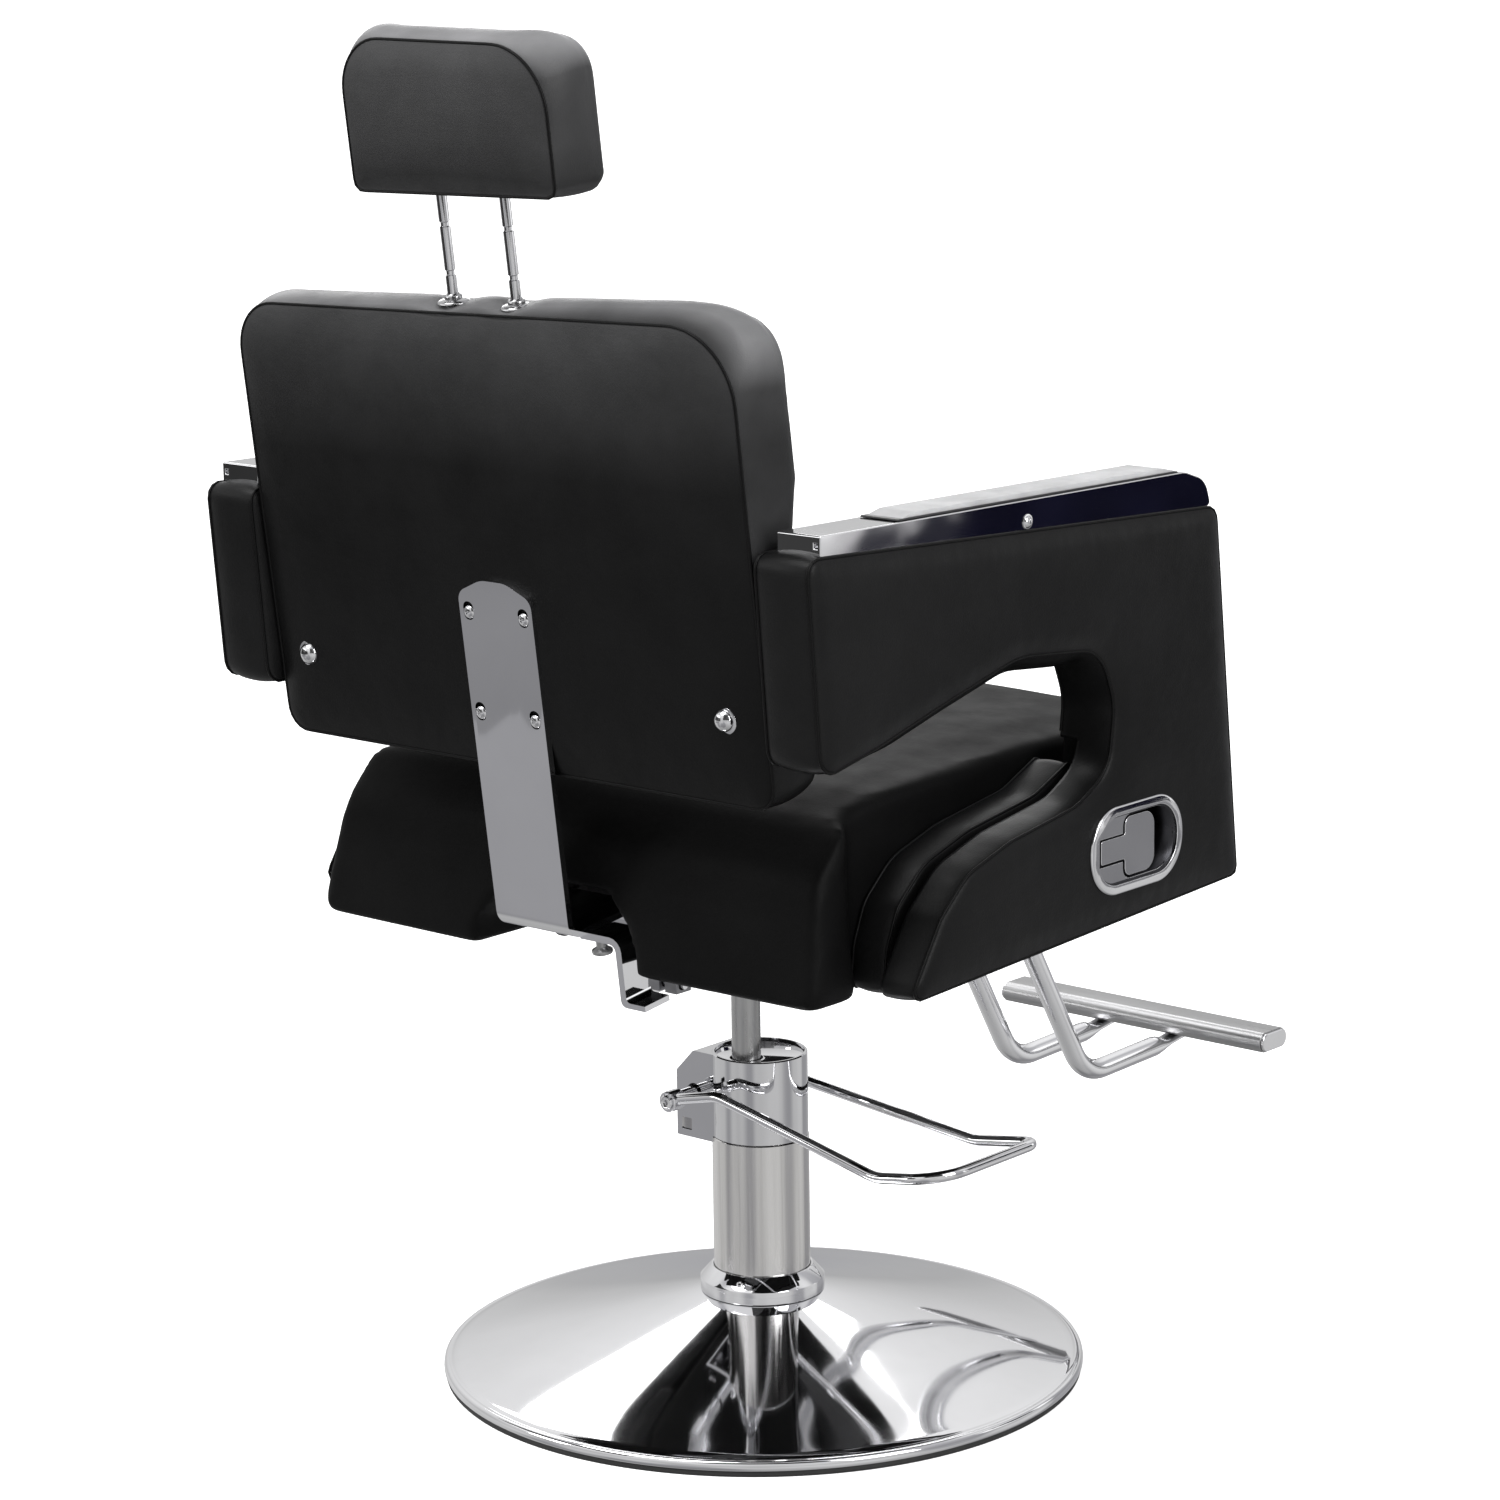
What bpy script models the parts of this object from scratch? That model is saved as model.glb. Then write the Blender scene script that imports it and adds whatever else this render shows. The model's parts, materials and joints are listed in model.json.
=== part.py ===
"""A reclining styling chair: hydraulic pedestal, upholstered seat between two side panels, a reclining
back on a chromed bracket, a headrest on two posts and a tube footrest.

Frame: metres, +Z up, the sitter faces -Y, the sitter's right is -X. The origin is the middle of the
pedestal's foot, on the floor.
"""
import math

import bmesh
import bpy
from mathutils import Matrix, Vector

# ---------------------------------------------------------------- driving dimensions (metres)
FIT = 0.0003                 # gap between pieces that touch

BASE_RADIUS = 0.290
BASE_RIM_TOP = 0.0145
BASE_HUB_TOP = 0.0745
BASE_WALL = 0.003
RUBBER_TOP = 0.0047

SLEEVE_RADIUS = 0.0437
SLEEVE_INNER = 0.0405
SLEEVE_TOP = 0.2165
SHROUD_RADIUS = 0.0432
SHROUD_TOP = 0.294
COLLAR_RADIUS = 0.0563

RAM_Y = 0.018                # the ram stands behind the middle of the pump
RAM_RADIUS = 0.0131
RAM_TOP = 0.419

PEDAL_X = 0.047              # pedal shaft's axis, parallel to Y
PEDAL_Z = 0.2535
PEDAL_SHAFT_RADIUS = 0.0068
PEDAL_ROD_RADIUS = 0.005
PEDAL_HALF_WIDTH = 0.070
PEDAL_REACH = -0.260

SEAT_BOTTOM = 0.4325
SEAT_HALF = 0.2555
SEAT_REAR_HALF = 0.2765
SEAT_BOARD = 0.014

PANEL_OUT = 0.3430           # side panel: outer face, inner face, inner face of the thin lower sweep
PANEL_IN = 0.2805
PANEL_THIN = 0.3055
STRIP_OUT = 0.2885
STRIP_IN = 0.2595
FRONT_WALL_Y = -0.072        # rear face of the panel's front wall, in the cut-out

HINGE_Y = 0.205              # recline hinge
HINGE_Z = 0.452
BACK_LEAN = math.radians(7.4)
BACK_HALF = 0.2765
BRACKET_REAR = 0.0822        # rear face of the bracket, in the back's own frame
BRACKET_HALF = 0.0412
BRACKET_THICK = 0.006
BACK_REAR = 0.0757
BACK_FRONT = 0.0045
BACK_LOW = 0.163
BACK_HIGH = 0.551
BACK_BOARD = 0.012

POST_X = 0.0355
POST_Y = 0.052
POST_RADIUS = 0.0045
HEADREST_HALF = 0.112
HEADREST_LOW = 0.650
HEADREST_HIGH = 0.777
HEADREST_FRONT = 0.004

LEVER_Y = -0.095             # middle of the recline lever's escutcheon
LEVER_Z = 0.515
LEVER_PIVOT_Y = -0.060
LEVER_PIVOT_X = -0.3400

SPRING_X = -0.0850           # gas spring's axis
SPRING_Z = 0.4165
SPRING_PIN_Z = 0.413

FOOT_X = 0.043
FOOT_TUBE_RADIUS = 0.0098
FOOTBAR_HALF = 0.160

# ---------------------------------------------------------------- scene, collections, materials


def clear_scene():
    for thing in list(bpy.data.objects):
        bpy.data.objects.remove(thing, do_unlink=True)


def new_collection(name):
    group = bpy.data.collections.new(name)
    bpy.context.scene.collection.children.link(group)
    return group


def finish_material(name, colour, roughness, metallic):
    made = bpy.data.materials.new(name)
    made.use_nodes = True
    shader = made.node_tree.nodes["Principled BSDF"]
    shader.inputs["Base Color"].default_value = (*colour, 1.0)
    shader.inputs["Roughness"].default_value = roughness
    shader.inputs["Metallic"].default_value = metallic
    return made


def build_materials():
    return {
        "chrome": finish_material("chrome", (0.80, 0.80, 0.82), 0.06, 1.0),
        "satin": finish_material("satin_steel", (0.60, 0.60, 0.60), 0.30, 1.0),
        "steel": finish_material("plain_steel", (0.35, 0.35, 0.36), 0.45, 1.0),
        "black_steel": finish_material("black_steel", (0.02, 0.02, 0.02), 0.40, 0.6),
        "leather": finish_material("black_leather", (0.012, 0.012, 0.013), 0.38, 0.0),
        "pad": finish_material("arm_pad_grey", (0.06, 0.06, 0.06), 0.45, 0.0),
        "wood": finish_material("plywood", (0.45, 0.30, 0.17), 0.65, 0.0),
        "rubber": finish_material("black_rubber", (0.01, 0.01, 0.01), 0.75, 0.0),
    }


# ---------------------------------------------------------------- modelling helpers


def place(piece, parent=None):
    PARTS.objects.link(piece)
    if parent is not None:
        piece.parent = parent
    return piece


def smooth(mesh, degrees=35.0):
    mesh.shade_smooth()
    mesh.set_sharp_from_angle(angle=math.radians(degrees))


def mesh_object(name, work, finish):
    mesh = bpy.data.meshes.new(name)
    bmesh.ops.recalc_face_normals(work, faces=work.faces)
    work.to_mesh(mesh)
    work.free()
    smooth(mesh)
    mesh.materials.append(MATERIALS[finish])
    return bpy.data.objects.new(name, mesh)


def block(name, low, high, finish, parent=None):
    """A box between two opposite corners."""
    low = Vector(low)
    high = Vector(high)
    work = bmesh.new()
    bmesh.ops.create_cube(work, size=1.0, matrix=Matrix.Diagonal((*(high - low), 1.0)))
    piece = mesh_object(name, work, finish)
    piece.location = (low + high) / 2.0
    return place(piece, parent)


def rod(name, start, end, radius, finish, sides=24, parent=None, end_radius=None):
    """A round bar between two points."""
    start = Vector(start)
    end = Vector(end)
    last = radius if end_radius is None else end_radius
    work = bmesh.new()
    bmesh.ops.create_cone(work, cap_ends=True, segments=sides, radius1=radius, radius2=last,
                          depth=(end - start).length)
    piece = mesh_object(name, work, finish)
    piece.location = (start + end) / 2.0
    piece.rotation_mode = "QUATERNION"
    piece.rotation_quaternion = Vector((0.0, 0.0, 1.0)).rotation_difference(end - start)
    return place(piece, parent)


def turned(name, profile, finish, steps=32, closed=True, parent=None, location=(0.0, 0.0, 0.0),
           rotation=(0.0, 0.0, 0.0)):
    """A lathe shape: the profile's (radius, height) points run down the outer side."""
    work = bmesh.new()
    corners = [work.verts.new((radius, 0.0, height)) for radius, height in profile]
    pairs = list(zip(corners, corners[1:]))
    if closed:
        pairs.append((corners[-1], corners[0]))
    for first, second in pairs:
        work.edges.new((first, second))
    mesh = bpy.data.meshes.new(name)
    work.to_mesh(mesh)
    work.free()
    mesh.materials.append(MATERIALS[finish])
    piece = bpy.data.objects.new(name, mesh)
    screw = piece.modifiers.new("Turn", "SCREW")
    screw.steps = steps
    screw.render_steps = steps
    screw.use_merge_vertices = True
    screw.merge_threshold = 0.00005
    screw.use_smooth_shade = True
    piece.location = location
    piece.rotation_euler = rotation
    return place(piece, parent)


def arc_corner(before, corner, after, radius, steps):
    """The points of a fillet of the given radius at a corner, in 2D or 3D."""
    to_before = (before - corner).normalized()
    to_after = (after - corner).normalized()
    half = to_before.angle(to_after) / 2.0
    if radius <= 0.0 or half > math.radians(89.0):
        return [corner]
    reach = min(radius / math.tan(half), 0.49 * (before - corner).length, 0.49 * (after - corner).length)
    radius = reach * math.tan(half)
    middle = corner + (to_before + to_after).normalized() * (radius / math.sin(half))
    start = corner + to_before * reach - middle
    end = corner + to_after * reach - middle
    sweep = start.angle(end)
    points = []
    for step in range(steps + 1):
        share = step / steps
        first = math.sin((1.0 - share) * sweep) / math.sin(sweep)
        second = math.sin(share * sweep) / math.sin(sweep)
        points.append(middle + start * first + end * second)
    return points


def rounded_path(corners, closed, steps=4):
    """Corner points, each with its fillet radius last, turned into one smooth list of points."""
    points = [Vector(corner[:-1]) for corner in corners]
    radii = [corner[-1] for corner in corners]
    count = len(points)
    path = []
    for index in range(count):
        if not closed and index in (0, count - 1):
            path.append(points[index])
            continue
        path += arc_corner(points[index - 1], points[index], points[(index + 1) % count], radii[index], steps)
    return path


def curve_object(name, points, closed, finish):
    curve = bpy.data.curves.new(name, "CURVE")
    curve.dimensions = "3D"
    spline = curve.splines.new("POLY")
    spline.points.add(len(points) - 1)
    for knot, point in zip(spline.points, points):
        knot.co = (*point.to_3d(), 1.0)
    spline.use_cyclic_u = closed
    curve.materials.append(MATERIALS[finish])
    return bpy.data.objects.new(name, curve)


def meshed(piece):
    """Turns a curve object into a closed mesh object of the same name and place."""
    bpy.context.scene.collection.objects.link(piece)
    bpy.context.view_layer.update()
    evaluated = piece.evaluated_get(bpy.context.evaluated_depsgraph_get())
    mesh = bpy.data.meshes.new_from_object(evaluated)
    work = bmesh.new()
    work.from_mesh(mesh)
    bmesh.ops.remove_doubles(work, verts=work.verts, dist=0.00002)
    bmesh.ops.recalc_face_normals(work, faces=work.faces)
    work.to_mesh(mesh)
    work.free()
    smooth(mesh)
    name = piece.name
    matrix = piece.matrix_world.copy()
    bpy.data.objects.remove(piece, do_unlink=True)
    made = bpy.data.objects.new(name, mesh)
    made.name = name
    made.matrix_world = matrix
    return made


def tube(name, corners, radius, finish, resolution=2, parent=None, steps=5):
    """A round bar bent along a path whose corners are filleted."""
    piece = curve_object(name, rounded_path(corners, False, steps), False, finish)
    piece.data.bevel_depth = radius
    piece.data.bevel_resolution = resolution
    piece.data.use_fill_caps = True
    return place(meshed(piece), parent)


def plate(name, corners, low, high, axis, finish, parent=None, steps=4):
    """A flat outline, rounded at its corners, extruded along X, Y or Z between two heights.

    The outline's coordinates are (y, z) for axis X, (x, z) for axis Y and (x, y) for axis Z.
    """
    piece = curve_object(name, rounded_path(corners, True, steps), True, finish)
    piece.data.dimensions = "2D"
    piece.data.fill_mode = "BOTH"
    piece.data.extrude = (high - low) / 2.0
    middle = (low + high) / 2.0
    turns = {
        "X": (Vector((middle, 0.0, 0.0)), (math.pi / 2.0, 0.0, math.pi / 2.0)),
        "Y": (Vector((0.0, middle, 0.0)), (math.pi / 2.0, 0.0, 0.0)),
        "Z": (Vector((0.0, 0.0, middle)), (0.0, 0.0, 0.0)),
    }
    piece.location, piece.rotation_euler = turns[axis]
    return place(meshed(piece), parent)


def as_tool(piece):
    for group in list(piece.users_collection):
        group.objects.unlink(piece)
    CUTTERS.objects.link(piece)
    piece.hide_render = True
    piece.display_type = "WIRE"
    return piece


def boolean(piece, other, operation):
    change = piece.modifiers.new(operation.title(), "BOOLEAN")
    change.operation = operation
    change.solver = "EXACT"
    change.object = as_tool(other)
    return piece


def cut(piece, *others):
    for other in others:
        boolean(piece, other, "DIFFERENCE")
    return piece


def join(piece, *others):
    for other in others:
        boolean(piece, other, "UNION")
    return piece


def bevelled(piece, width, segments=2):
    change = piece.modifiers.new("Edges", "BEVEL")
    change.width = width
    change.segments = segments
    change.limit_method = "ANGLE"
    change.angle_limit = math.radians(50.0)
    change.use_clamp_overlap = True
    return piece


def empty(name, location, rotation=(0.0, 0.0, 0.0), parent=None):
    made = bpy.data.objects.new(name, None)
    made.empty_display_size = 0.05
    made.location = location
    made.rotation_euler = rotation
    return place(made, parent)


# ---------------------------------------------------------------- pedestal


def dish_height(radius):
    """Height of the base's trumpet-shaped top at a radius."""
    edge = 0.286
    hub = SLEEVE_RADIUS + 0.0008
    share = (edge - radius) / (edge - hub)
    return BASE_RIM_TOP + (BASE_HUB_TOP - BASE_RIM_TOP) * share ** 1.3


def build_base():
    hub = SLEEVE_RADIUS + 0.0008
    radii = [hub + (0.286 - hub) * (step / 7.0) ** 1.25 for step in range(8)]
    top = [(radius, dish_height(radius)) for radius in radii]
    rim = [(BASE_RADIUS, 0.0115), (BASE_RADIUS, 0.005), (0.2865, 0.005), (0.2845, 0.0110)]
    under = [(radius, dish_height(radius) - BASE_WALL) for radius in reversed(radii[:-1])]
    turned("base_dish", top + rim + under, "chrome", steps=48)
    ring = [(0.2885, RUBBER_TOP), (0.2885, 0.0), (0.2760, 0.0), (0.2760, RUBBER_TOP)]
    turned("base_rubber_ring", ring, "rubber", steps=48)
    turned("pump_foot_flange", [(0.0, 0.006), (0.068, 0.006), (0.070, 0.004), (0.070, 0.0), (0.0, 0.0)],
           "steel", steps=32, closed=False)
    bottom = BASE_HUB_TOP + FIT
    inner = SLEEVE_RADIUS + 0.0006
    profile = [(inner, 0.0947), (inner + 0.0012, 0.0947), (COLLAR_RADIUS, 0.0830), (COLLAR_RADIUS, bottom),
               (inner, bottom)]
    collar = turned("hub_collar", profile, "chrome", steps=40)
    angle = math.radians(107.0)
    outward = Vector((math.cos(angle), math.sin(angle), 0.0))
    seat = outward * 0.0505 + Vector((0.0, 0.0, 0.0885))
    tilt = (outward * 0.72 + Vector((0.0, 0.0, 0.69))).normalized()
    cut(collar, rod("set_screw_hole", seat - tilt * 0.0035, seat + tilt * 0.010, 0.0034, "steel", 12))
    rod("collar_set_screw", seat - tilt * 0.0030, seat + tilt * 0.0014, 0.0030, "chrome", 12)


def build_pump():
    inner = SLEEVE_INNER
    turned("pump_sleeve", [(SLEEVE_RADIUS, SLEEVE_TOP), (SLEEVE_RADIUS, 0.0065), (inner, 0.0065),
                           (inner, SLEEVE_TOP)], "satin", steps=40)
    body = rod("pump_body", (0.0, 0.0, 0.0065), (0.0, 0.0, 0.268), 0.0360, "black_steel", 32)
    cut(body, rod("ram_bore", (0.0, RAM_Y, 0.060), (0.0, RAM_Y, 0.300), RAM_RADIUS + 0.0005, "steel", 20))
    turned("pump_gland", [(0.0170, 0.277), (0.0178, 0.276), (0.0178, 0.268 + FIT),
                          (RAM_RADIUS + 0.0005, 0.268 + FIT), (RAM_RADIUS + 0.0005, 0.277)],
           "black_steel", steps=20, location=(0.0, RAM_Y, 0.0))
    build_shroud()
    barrel_x = 0.0585
    turned("pump_barrel", [(0.0062, 0.232), (0.0062, 0.214), (0.0043, 0.214), (0.0043, 0.232)], "steel",
           steps=14, location=(barrel_x, 0.0, 0.0))
    rod("pump_plunger", (barrel_x, 0.0, 0.2160), (barrel_x, 0.0, 0.2425), 0.0040, "steel", 12)


def build_shroud():
    bottom = SLEEVE_TOP + FIT
    shroud = rod("pump_shroud", (0.0, 0.0, bottom), (0.0, 0.0, SHROUD_TOP), SHROUD_RADIUS, "chrome", 40)
    outline = [(0.0, 0.293, 0.0), (0.048, 0.293, 0.003), (0.068, 0.272, 0.003), (0.068, 0.2115, 0.0),
               (0.0, 0.2115, 0.0)]
    join(shroud, plate("mechanism_box", outline, -0.036, 0.036, "Y", "chrome", steps=2))
    cut(shroud, rod("shroud_hollow", (0.0, 0.0, 0.200), (0.0, 0.0, 0.310), SLEEVE_INNER, "steel", 40))
    hollow = [(0.0, 0.2905, 0.0), (0.047, 0.2905, 0.002), (0.0655, 0.271, 0.002), (0.0655, 0.200, 0.0),
              (0.0, 0.200, 0.0)]
    cut(shroud, plate("box_hollow", hollow, -0.0335, 0.0335, "Y", "steel", steps=2))
    cut(shroud, rod("sleeve_room", (0.0, 0.0, 0.200), (0.0, 0.0, bottom), SLEEVE_RADIUS + 0.0004, "steel", 40))
    cut(shroud, rod("shaft_opening", (PEDAL_X, -0.050, PEDAL_Z), (PEDAL_X, 0.050, PEDAL_Z), 0.0095, "steel", 20))
    cut(shroud, block("lower_window", (0.0505, 0.030, 0.2180), (0.0625, 0.040, 0.2290), "steel"))


def build_ram():
    turned("pump_ram", [(0.0, RAM_TOP), (0.0115, RAM_TOP), (0.0122, RAM_TOP - 0.001), (RAM_RADIUS, 0.378),
                        (RAM_RADIUS, 0.096), (0.0120, 0.095), (0.0, 0.095)],
           "satin", steps=24, closed=False, location=(0.0, RAM_Y, 0.0))


def build_pedal():
    pivot = empty("pedal_pivot", (PEDAL_X, 0.0, PEDAL_Z))
    radius = PEDAL_SHAFT_RADIUS
    shaft = rod("pedal_shaft", (0.0, -0.0720, 0.0), (0.0, 0.0755, 0.0), radius, "chrome", 20, pivot)
    cut(shaft, rod("hex_socket", (0.0, 0.0695, 0.0), (0.0, 0.080, 0.0), 0.0031, "steel", 6, pivot))
    near = PEDAL_HALF_WIDTH
    x = PEDAL_REACH - PEDAL_X
    corners = [
        (0.0, near - 0.0045, 0.0010, 0.0),
        (-0.055, near - 0.0025, 0.0140, 0.030),
        (-0.237, near, -0.0250, 0.030),
        (x, near, -0.0135, 0.036),
        (x, -near, -0.0135, 0.014),
        (-0.237, -near, -0.0250, 0.030),
        (0.0, -near + 0.0045, 0.0010, 0.0),
    ]
    bar = tube("pedal_bar", corners, PEDAL_ROD_RADIUS, "chrome", 2, pivot, 4)
    cut(bar, rod("shaft_room", (0.0, -0.090, 0.0), (0.0, 0.090, 0.0), radius + FIT, "steel", 20, pivot))
    cam = plate("pedal_cam", [(0.0100, -0.0060, 0.001), (0.0150, -0.0060, 0.001), (0.0150, 0.0080, 0.003),
                              (-0.0080, 0.0080, 0.003), (-0.0090, -0.0080, 0.003), (0.0000, -0.0100, 0.002)],
                -0.006, 0.006, "Y", "steel", pivot, 2)
    cut(cam, rod("cam_bore", (0.0, -0.020, 0.0), (0.0, 0.020, 0.0), radius + FIT, "steel", 20, pivot))


# ---------------------------------------------------------------- seat


def notch_outline():
    """The arch cut in the rear of the seat for the back's bracket, in (x, z)."""
    side = [(0.094, 0.420, 0.0), (0.091, 0.452, 0.010), (0.075, 0.474, 0.020), (0.052, 0.4970, 0.012)]
    mirrored = [(-x, z, radius) for x, z, radius in reversed(side)]
    return side + mirrored


def build_seat():
    low = SEAT_BOTTOM + SEAT_BOARD + FIT
    side = [(-0.283, low, 0.006), (-0.290, 0.560, 0.030), (-0.262, 0.596, 0.030), (-0.020, 0.598, 0.200),
            (0.185, 0.585, 0.040), (0.222, 0.572, 0.030), (0.252, 0.530, 0.060), (0.268, low, 0.006)]
    cushion = plate("seat_cushion", side, -SEAT_REAR_HALF, SEAT_REAR_HALF, "X", "leather", steps=3)
    for sign in (-1.0, 1.0):
        inner, outer = sorted((sign * SEAT_HALF, sign * 0.30))
        cut(cushion, block("seat_side_room", (inner, -0.320, 0.40), (outer, 0.187, 0.62), "steel"))
    cut(cushion, plate("cushion_notch", notch_outline(), 0.168, 0.300, "Y", "steel", steps=3))
    half = SEAT_HALF - 0.003
    outline = [(-half, -0.280, 0.02), (half, -0.280, 0.02), (half, 0.262, 0.012), (-half, 0.262, 0.012)]
    board = plate("seat_board", outline, SEAT_BOTTOM, SEAT_BOTTOM + SEAT_BOARD, "Z", "wood", steps=2)
    cut(board, plate("board_notch", notch_outline(), 0.168, 0.300, "Y", "steel", steps=3))


def build_seat_mechanism():
    top = SEAT_BOTTOM - FIT
    outline = [(-0.067, -0.118, 0.012), (0.067, -0.118, 0.012), (0.067, 0.160, 0.012), (-0.067, 0.160, 0.012)]
    plate("seat_plate", outline, top - 0.006, top, "Z", "black_steel", steps=2)
    low = top - 0.006 - FIT
    profile = [(0.0440, low), (0.0440, low - 0.005), (0.0240, low - 0.007), (0.0220, 0.372), (0.0137, 0.372),
               (0.0137, low)]
    turned("ram_socket", profile, "black_steel", steps=24, location=(0.0, RAM_Y, 0.0))
    hinge = block("hinge_bracket", (-0.0495, 0.1685, 0.4335), (0.0495, 0.1735, 0.478), "black_steel")
    cheek = [(0.1700, 0.4335, 0.0), (0.2080, 0.4335, 0.010), (0.2185, 0.452, 0.012), (0.2080, 0.468, 0.012),
             (0.1700, 0.478, 0.0)]
    for start, end in ((-0.0495, -0.0445), (0.0445, 0.0495)):
        join(hinge, plate("hinge_cheek", cheek, start, end, "X", "black_steel", steps=3))
    cut(hinge, rod("cheek_bore", (-0.080, HINGE_Y, HINGE_Z), (0.080, HINGE_Y, HINGE_Z), 0.00535, "steel", 16))
    rod("recline_pin", (-0.0530, HINGE_Y, HINGE_Z), (0.0530, HINGE_Y, HINGE_Z), 0.0050, "steel", 16)
    build_gas_spring()


def build_gas_spring():
    quarter = math.pi / 2.0
    cylinder = [(0.0, -0.0780), (0.0090, -0.0780), (0.0098, -0.0765), (0.0098, 0.1180), (0.0088, 0.1195),
                (0.0043, 0.1195), (0.0043, 0.0350), (0.0, 0.0350)]
    profile = list(reversed([(radius, height) for radius, height in cylinder]))
    turned("gas_spring_cylinder", profile, "black_steel", steps=16, closed=False,
           location=(SPRING_X, 0.0, SPRING_Z), rotation=(-quarter, 0.0, 0.0))
    slot_half = 0.0047
    head = block("gas_spring_rod", (SPRING_X - 0.0065, HINGE_Y - 0.0110, 0.4060),
                 (SPRING_X + 0.0065, HINGE_Y + 0.0075, 0.4295), "steel")
    join(head, rod("spring_piston", (SPRING_X, 0.070, SPRING_Z), (SPRING_X, HINGE_Y - 0.0080, SPRING_Z), 0.0038,
                   "steel", 14))
    outline = [(HINGE_Y - slot_half, 0.4083, 0.0046), (HINGE_Y + slot_half, 0.4083, 0.0046),
               (HINGE_Y + slot_half, 0.4268, 0.0046), (HINGE_Y - slot_half, 0.4268, 0.0046)]
    cut(head, plate("pin_slot", outline, SPRING_X - 0.020, SPRING_X + 0.020, "X", "steel", steps=3))
    mount = block("gas_spring_mount", (SPRING_X - 0.013, -0.105, 0.4035), (SPRING_X + 0.013, -0.0783, 0.4320),
                  "black_steel")
    bevelled(mount, 0.0015, 1)
    route = [(SPRING_X, -0.1053, 0.4165, 0.0), (SPRING_X, -0.128, 0.4165, 0.016), (-0.150, -0.142, 0.4215, 0.030),
             (-0.235, -0.118, 0.4270, 0.030), (-0.268, -0.112, 0.4270, 0.008), (-0.268, -0.112, 0.4480, 0.008),
             (-0.2985, -0.112, 0.4480, 0.0)]
    tube("release_cable", route, 0.0025, "rubber", 1, None, 3)


# ---------------------------------------------------------------- side panels and arms


SWEEP = [(0.166, 0.500, 0.030), (0.130, 0.5305, 0.060), (0.072, 0.5475, 0.060), (-0.020, 0.5610, 0.060),
         (-0.064, 0.5840, 0.040)]


def panel_outline():
    """The side panel seen from the side, open to the rear, in (y, z)."""
    upper = [(FRONT_WALL_Y, 0.640, 0.050), (-0.052, 0.690, 0.045), (0.060, 0.7010, 0.120),
             (0.150, 0.6820, 0.200), (0.245, 0.6580, 0.080), (0.312, 0.6440, 0.016)]
    frame = [(0.3270, 0.8180, 0.012), (-0.2190, 0.7900, 0.014), (-0.2550, 0.4580, 0.006),
             (0.2080, 0.4375, 0.008)]
    return frame + SWEEP + upper


def strip_outline():
    """The bolster between the panel and the seat: the same sweep, ended at the panel's front wall."""
    lowered = [(y, z - 0.002, radius) for y, z, radius in SWEEP[:-1]]
    return [(0.181, 0.4330, 0.006), (0.176, 0.470, 0.030)] + lowered + [(-0.0775, 0.582, 0.004),
                                                                    (-0.0775, 0.4330, 0.004)]


def mirror_span(first, second, sign):
    return sorted((sign * first, sign * second))


def build_side(side, sign):
    panel = plate(f"side_panel_{side}", panel_outline(), *mirror_span(PANEL_IN, PANEL_OUT, sign), "X", "leather",
                  steps=3)
    start, end = mirror_span(0.250, PANEL_THIN, sign)
    cut(panel, block("sweep_step", (start, FRONT_WALL_Y - 0.0065, 0.400), (end, 0.300, 0.610), "steel"))
    plate(f"seat_bolster_{side}", strip_outline(), *mirror_span(STRIP_IN, STRIP_OUT, sign), "X", "leather",
          steps=3)
    build_arm_cap(side, sign)
    if side == "right":
        build_lever(panel)


def arm_line(y):
    """Height of the panel's top edge at a place along the arm."""
    return 0.7900 + (y + 0.2190) * (0.8180 - 0.7900) / (0.3270 + 0.2190)


def build_arm_cap(side, sign):
    rear = 0.312
    front = -0.2090
    outline = [(rear, arm_line(rear) + FIT * 2.0, 0.001), (rear, 0.8345, 0.002), (-0.172, 0.8250, 0.020),
               (-0.201, 0.8140, 0.024), (front, arm_line(front) + FIT * 2.0, 0.004)]
    span = mirror_span(0.2935, 0.3375, sign)
    cap = plate(f"arm_cap_{side}", outline, *span, "X", "chrome", steps=4)
    hole_x = sign * 0.3325
    cut(cap, block("cap_hole", (hole_x - 0.002, 0.306, 0.8245), (hole_x + 0.002, 0.320, 0.8285), "steel"))
    pad = [(0.212, 0.8329 + FIT, 0.002), (0.206, 0.8392, 0.004), (-0.160, 0.8316, 0.010),
           (-0.176, 0.8252 + FIT, 0.002)]
    plate(f"arm_pad_{side}", pad, *mirror_span(0.2975, 0.3335, sign), "X", "pad", steps=2)
    outer = sign * (0.3375 + FIT)
    rod(f"arm_cap_bolt_{side}", (outer, 0.048, 0.8115), (outer + sign * 0.0028, 0.048, 0.8115), 0.0062,
        "chrome", 16, None, 0.0045)


def stadium(half_length, half_height):
    """A long round-ended outline about the lever's middle, in (y, z)."""
    radius = half_height * 0.98
    return [(LEVER_Y - half_length, LEVER_Z - half_height, radius), (LEVER_Y + half_length, LEVER_Z - half_height,
            radius), (LEVER_Y + half_length, LEVER_Z + half_height, radius),
            (LEVER_Y - half_length, LEVER_Z + half_height, radius)]


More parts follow.
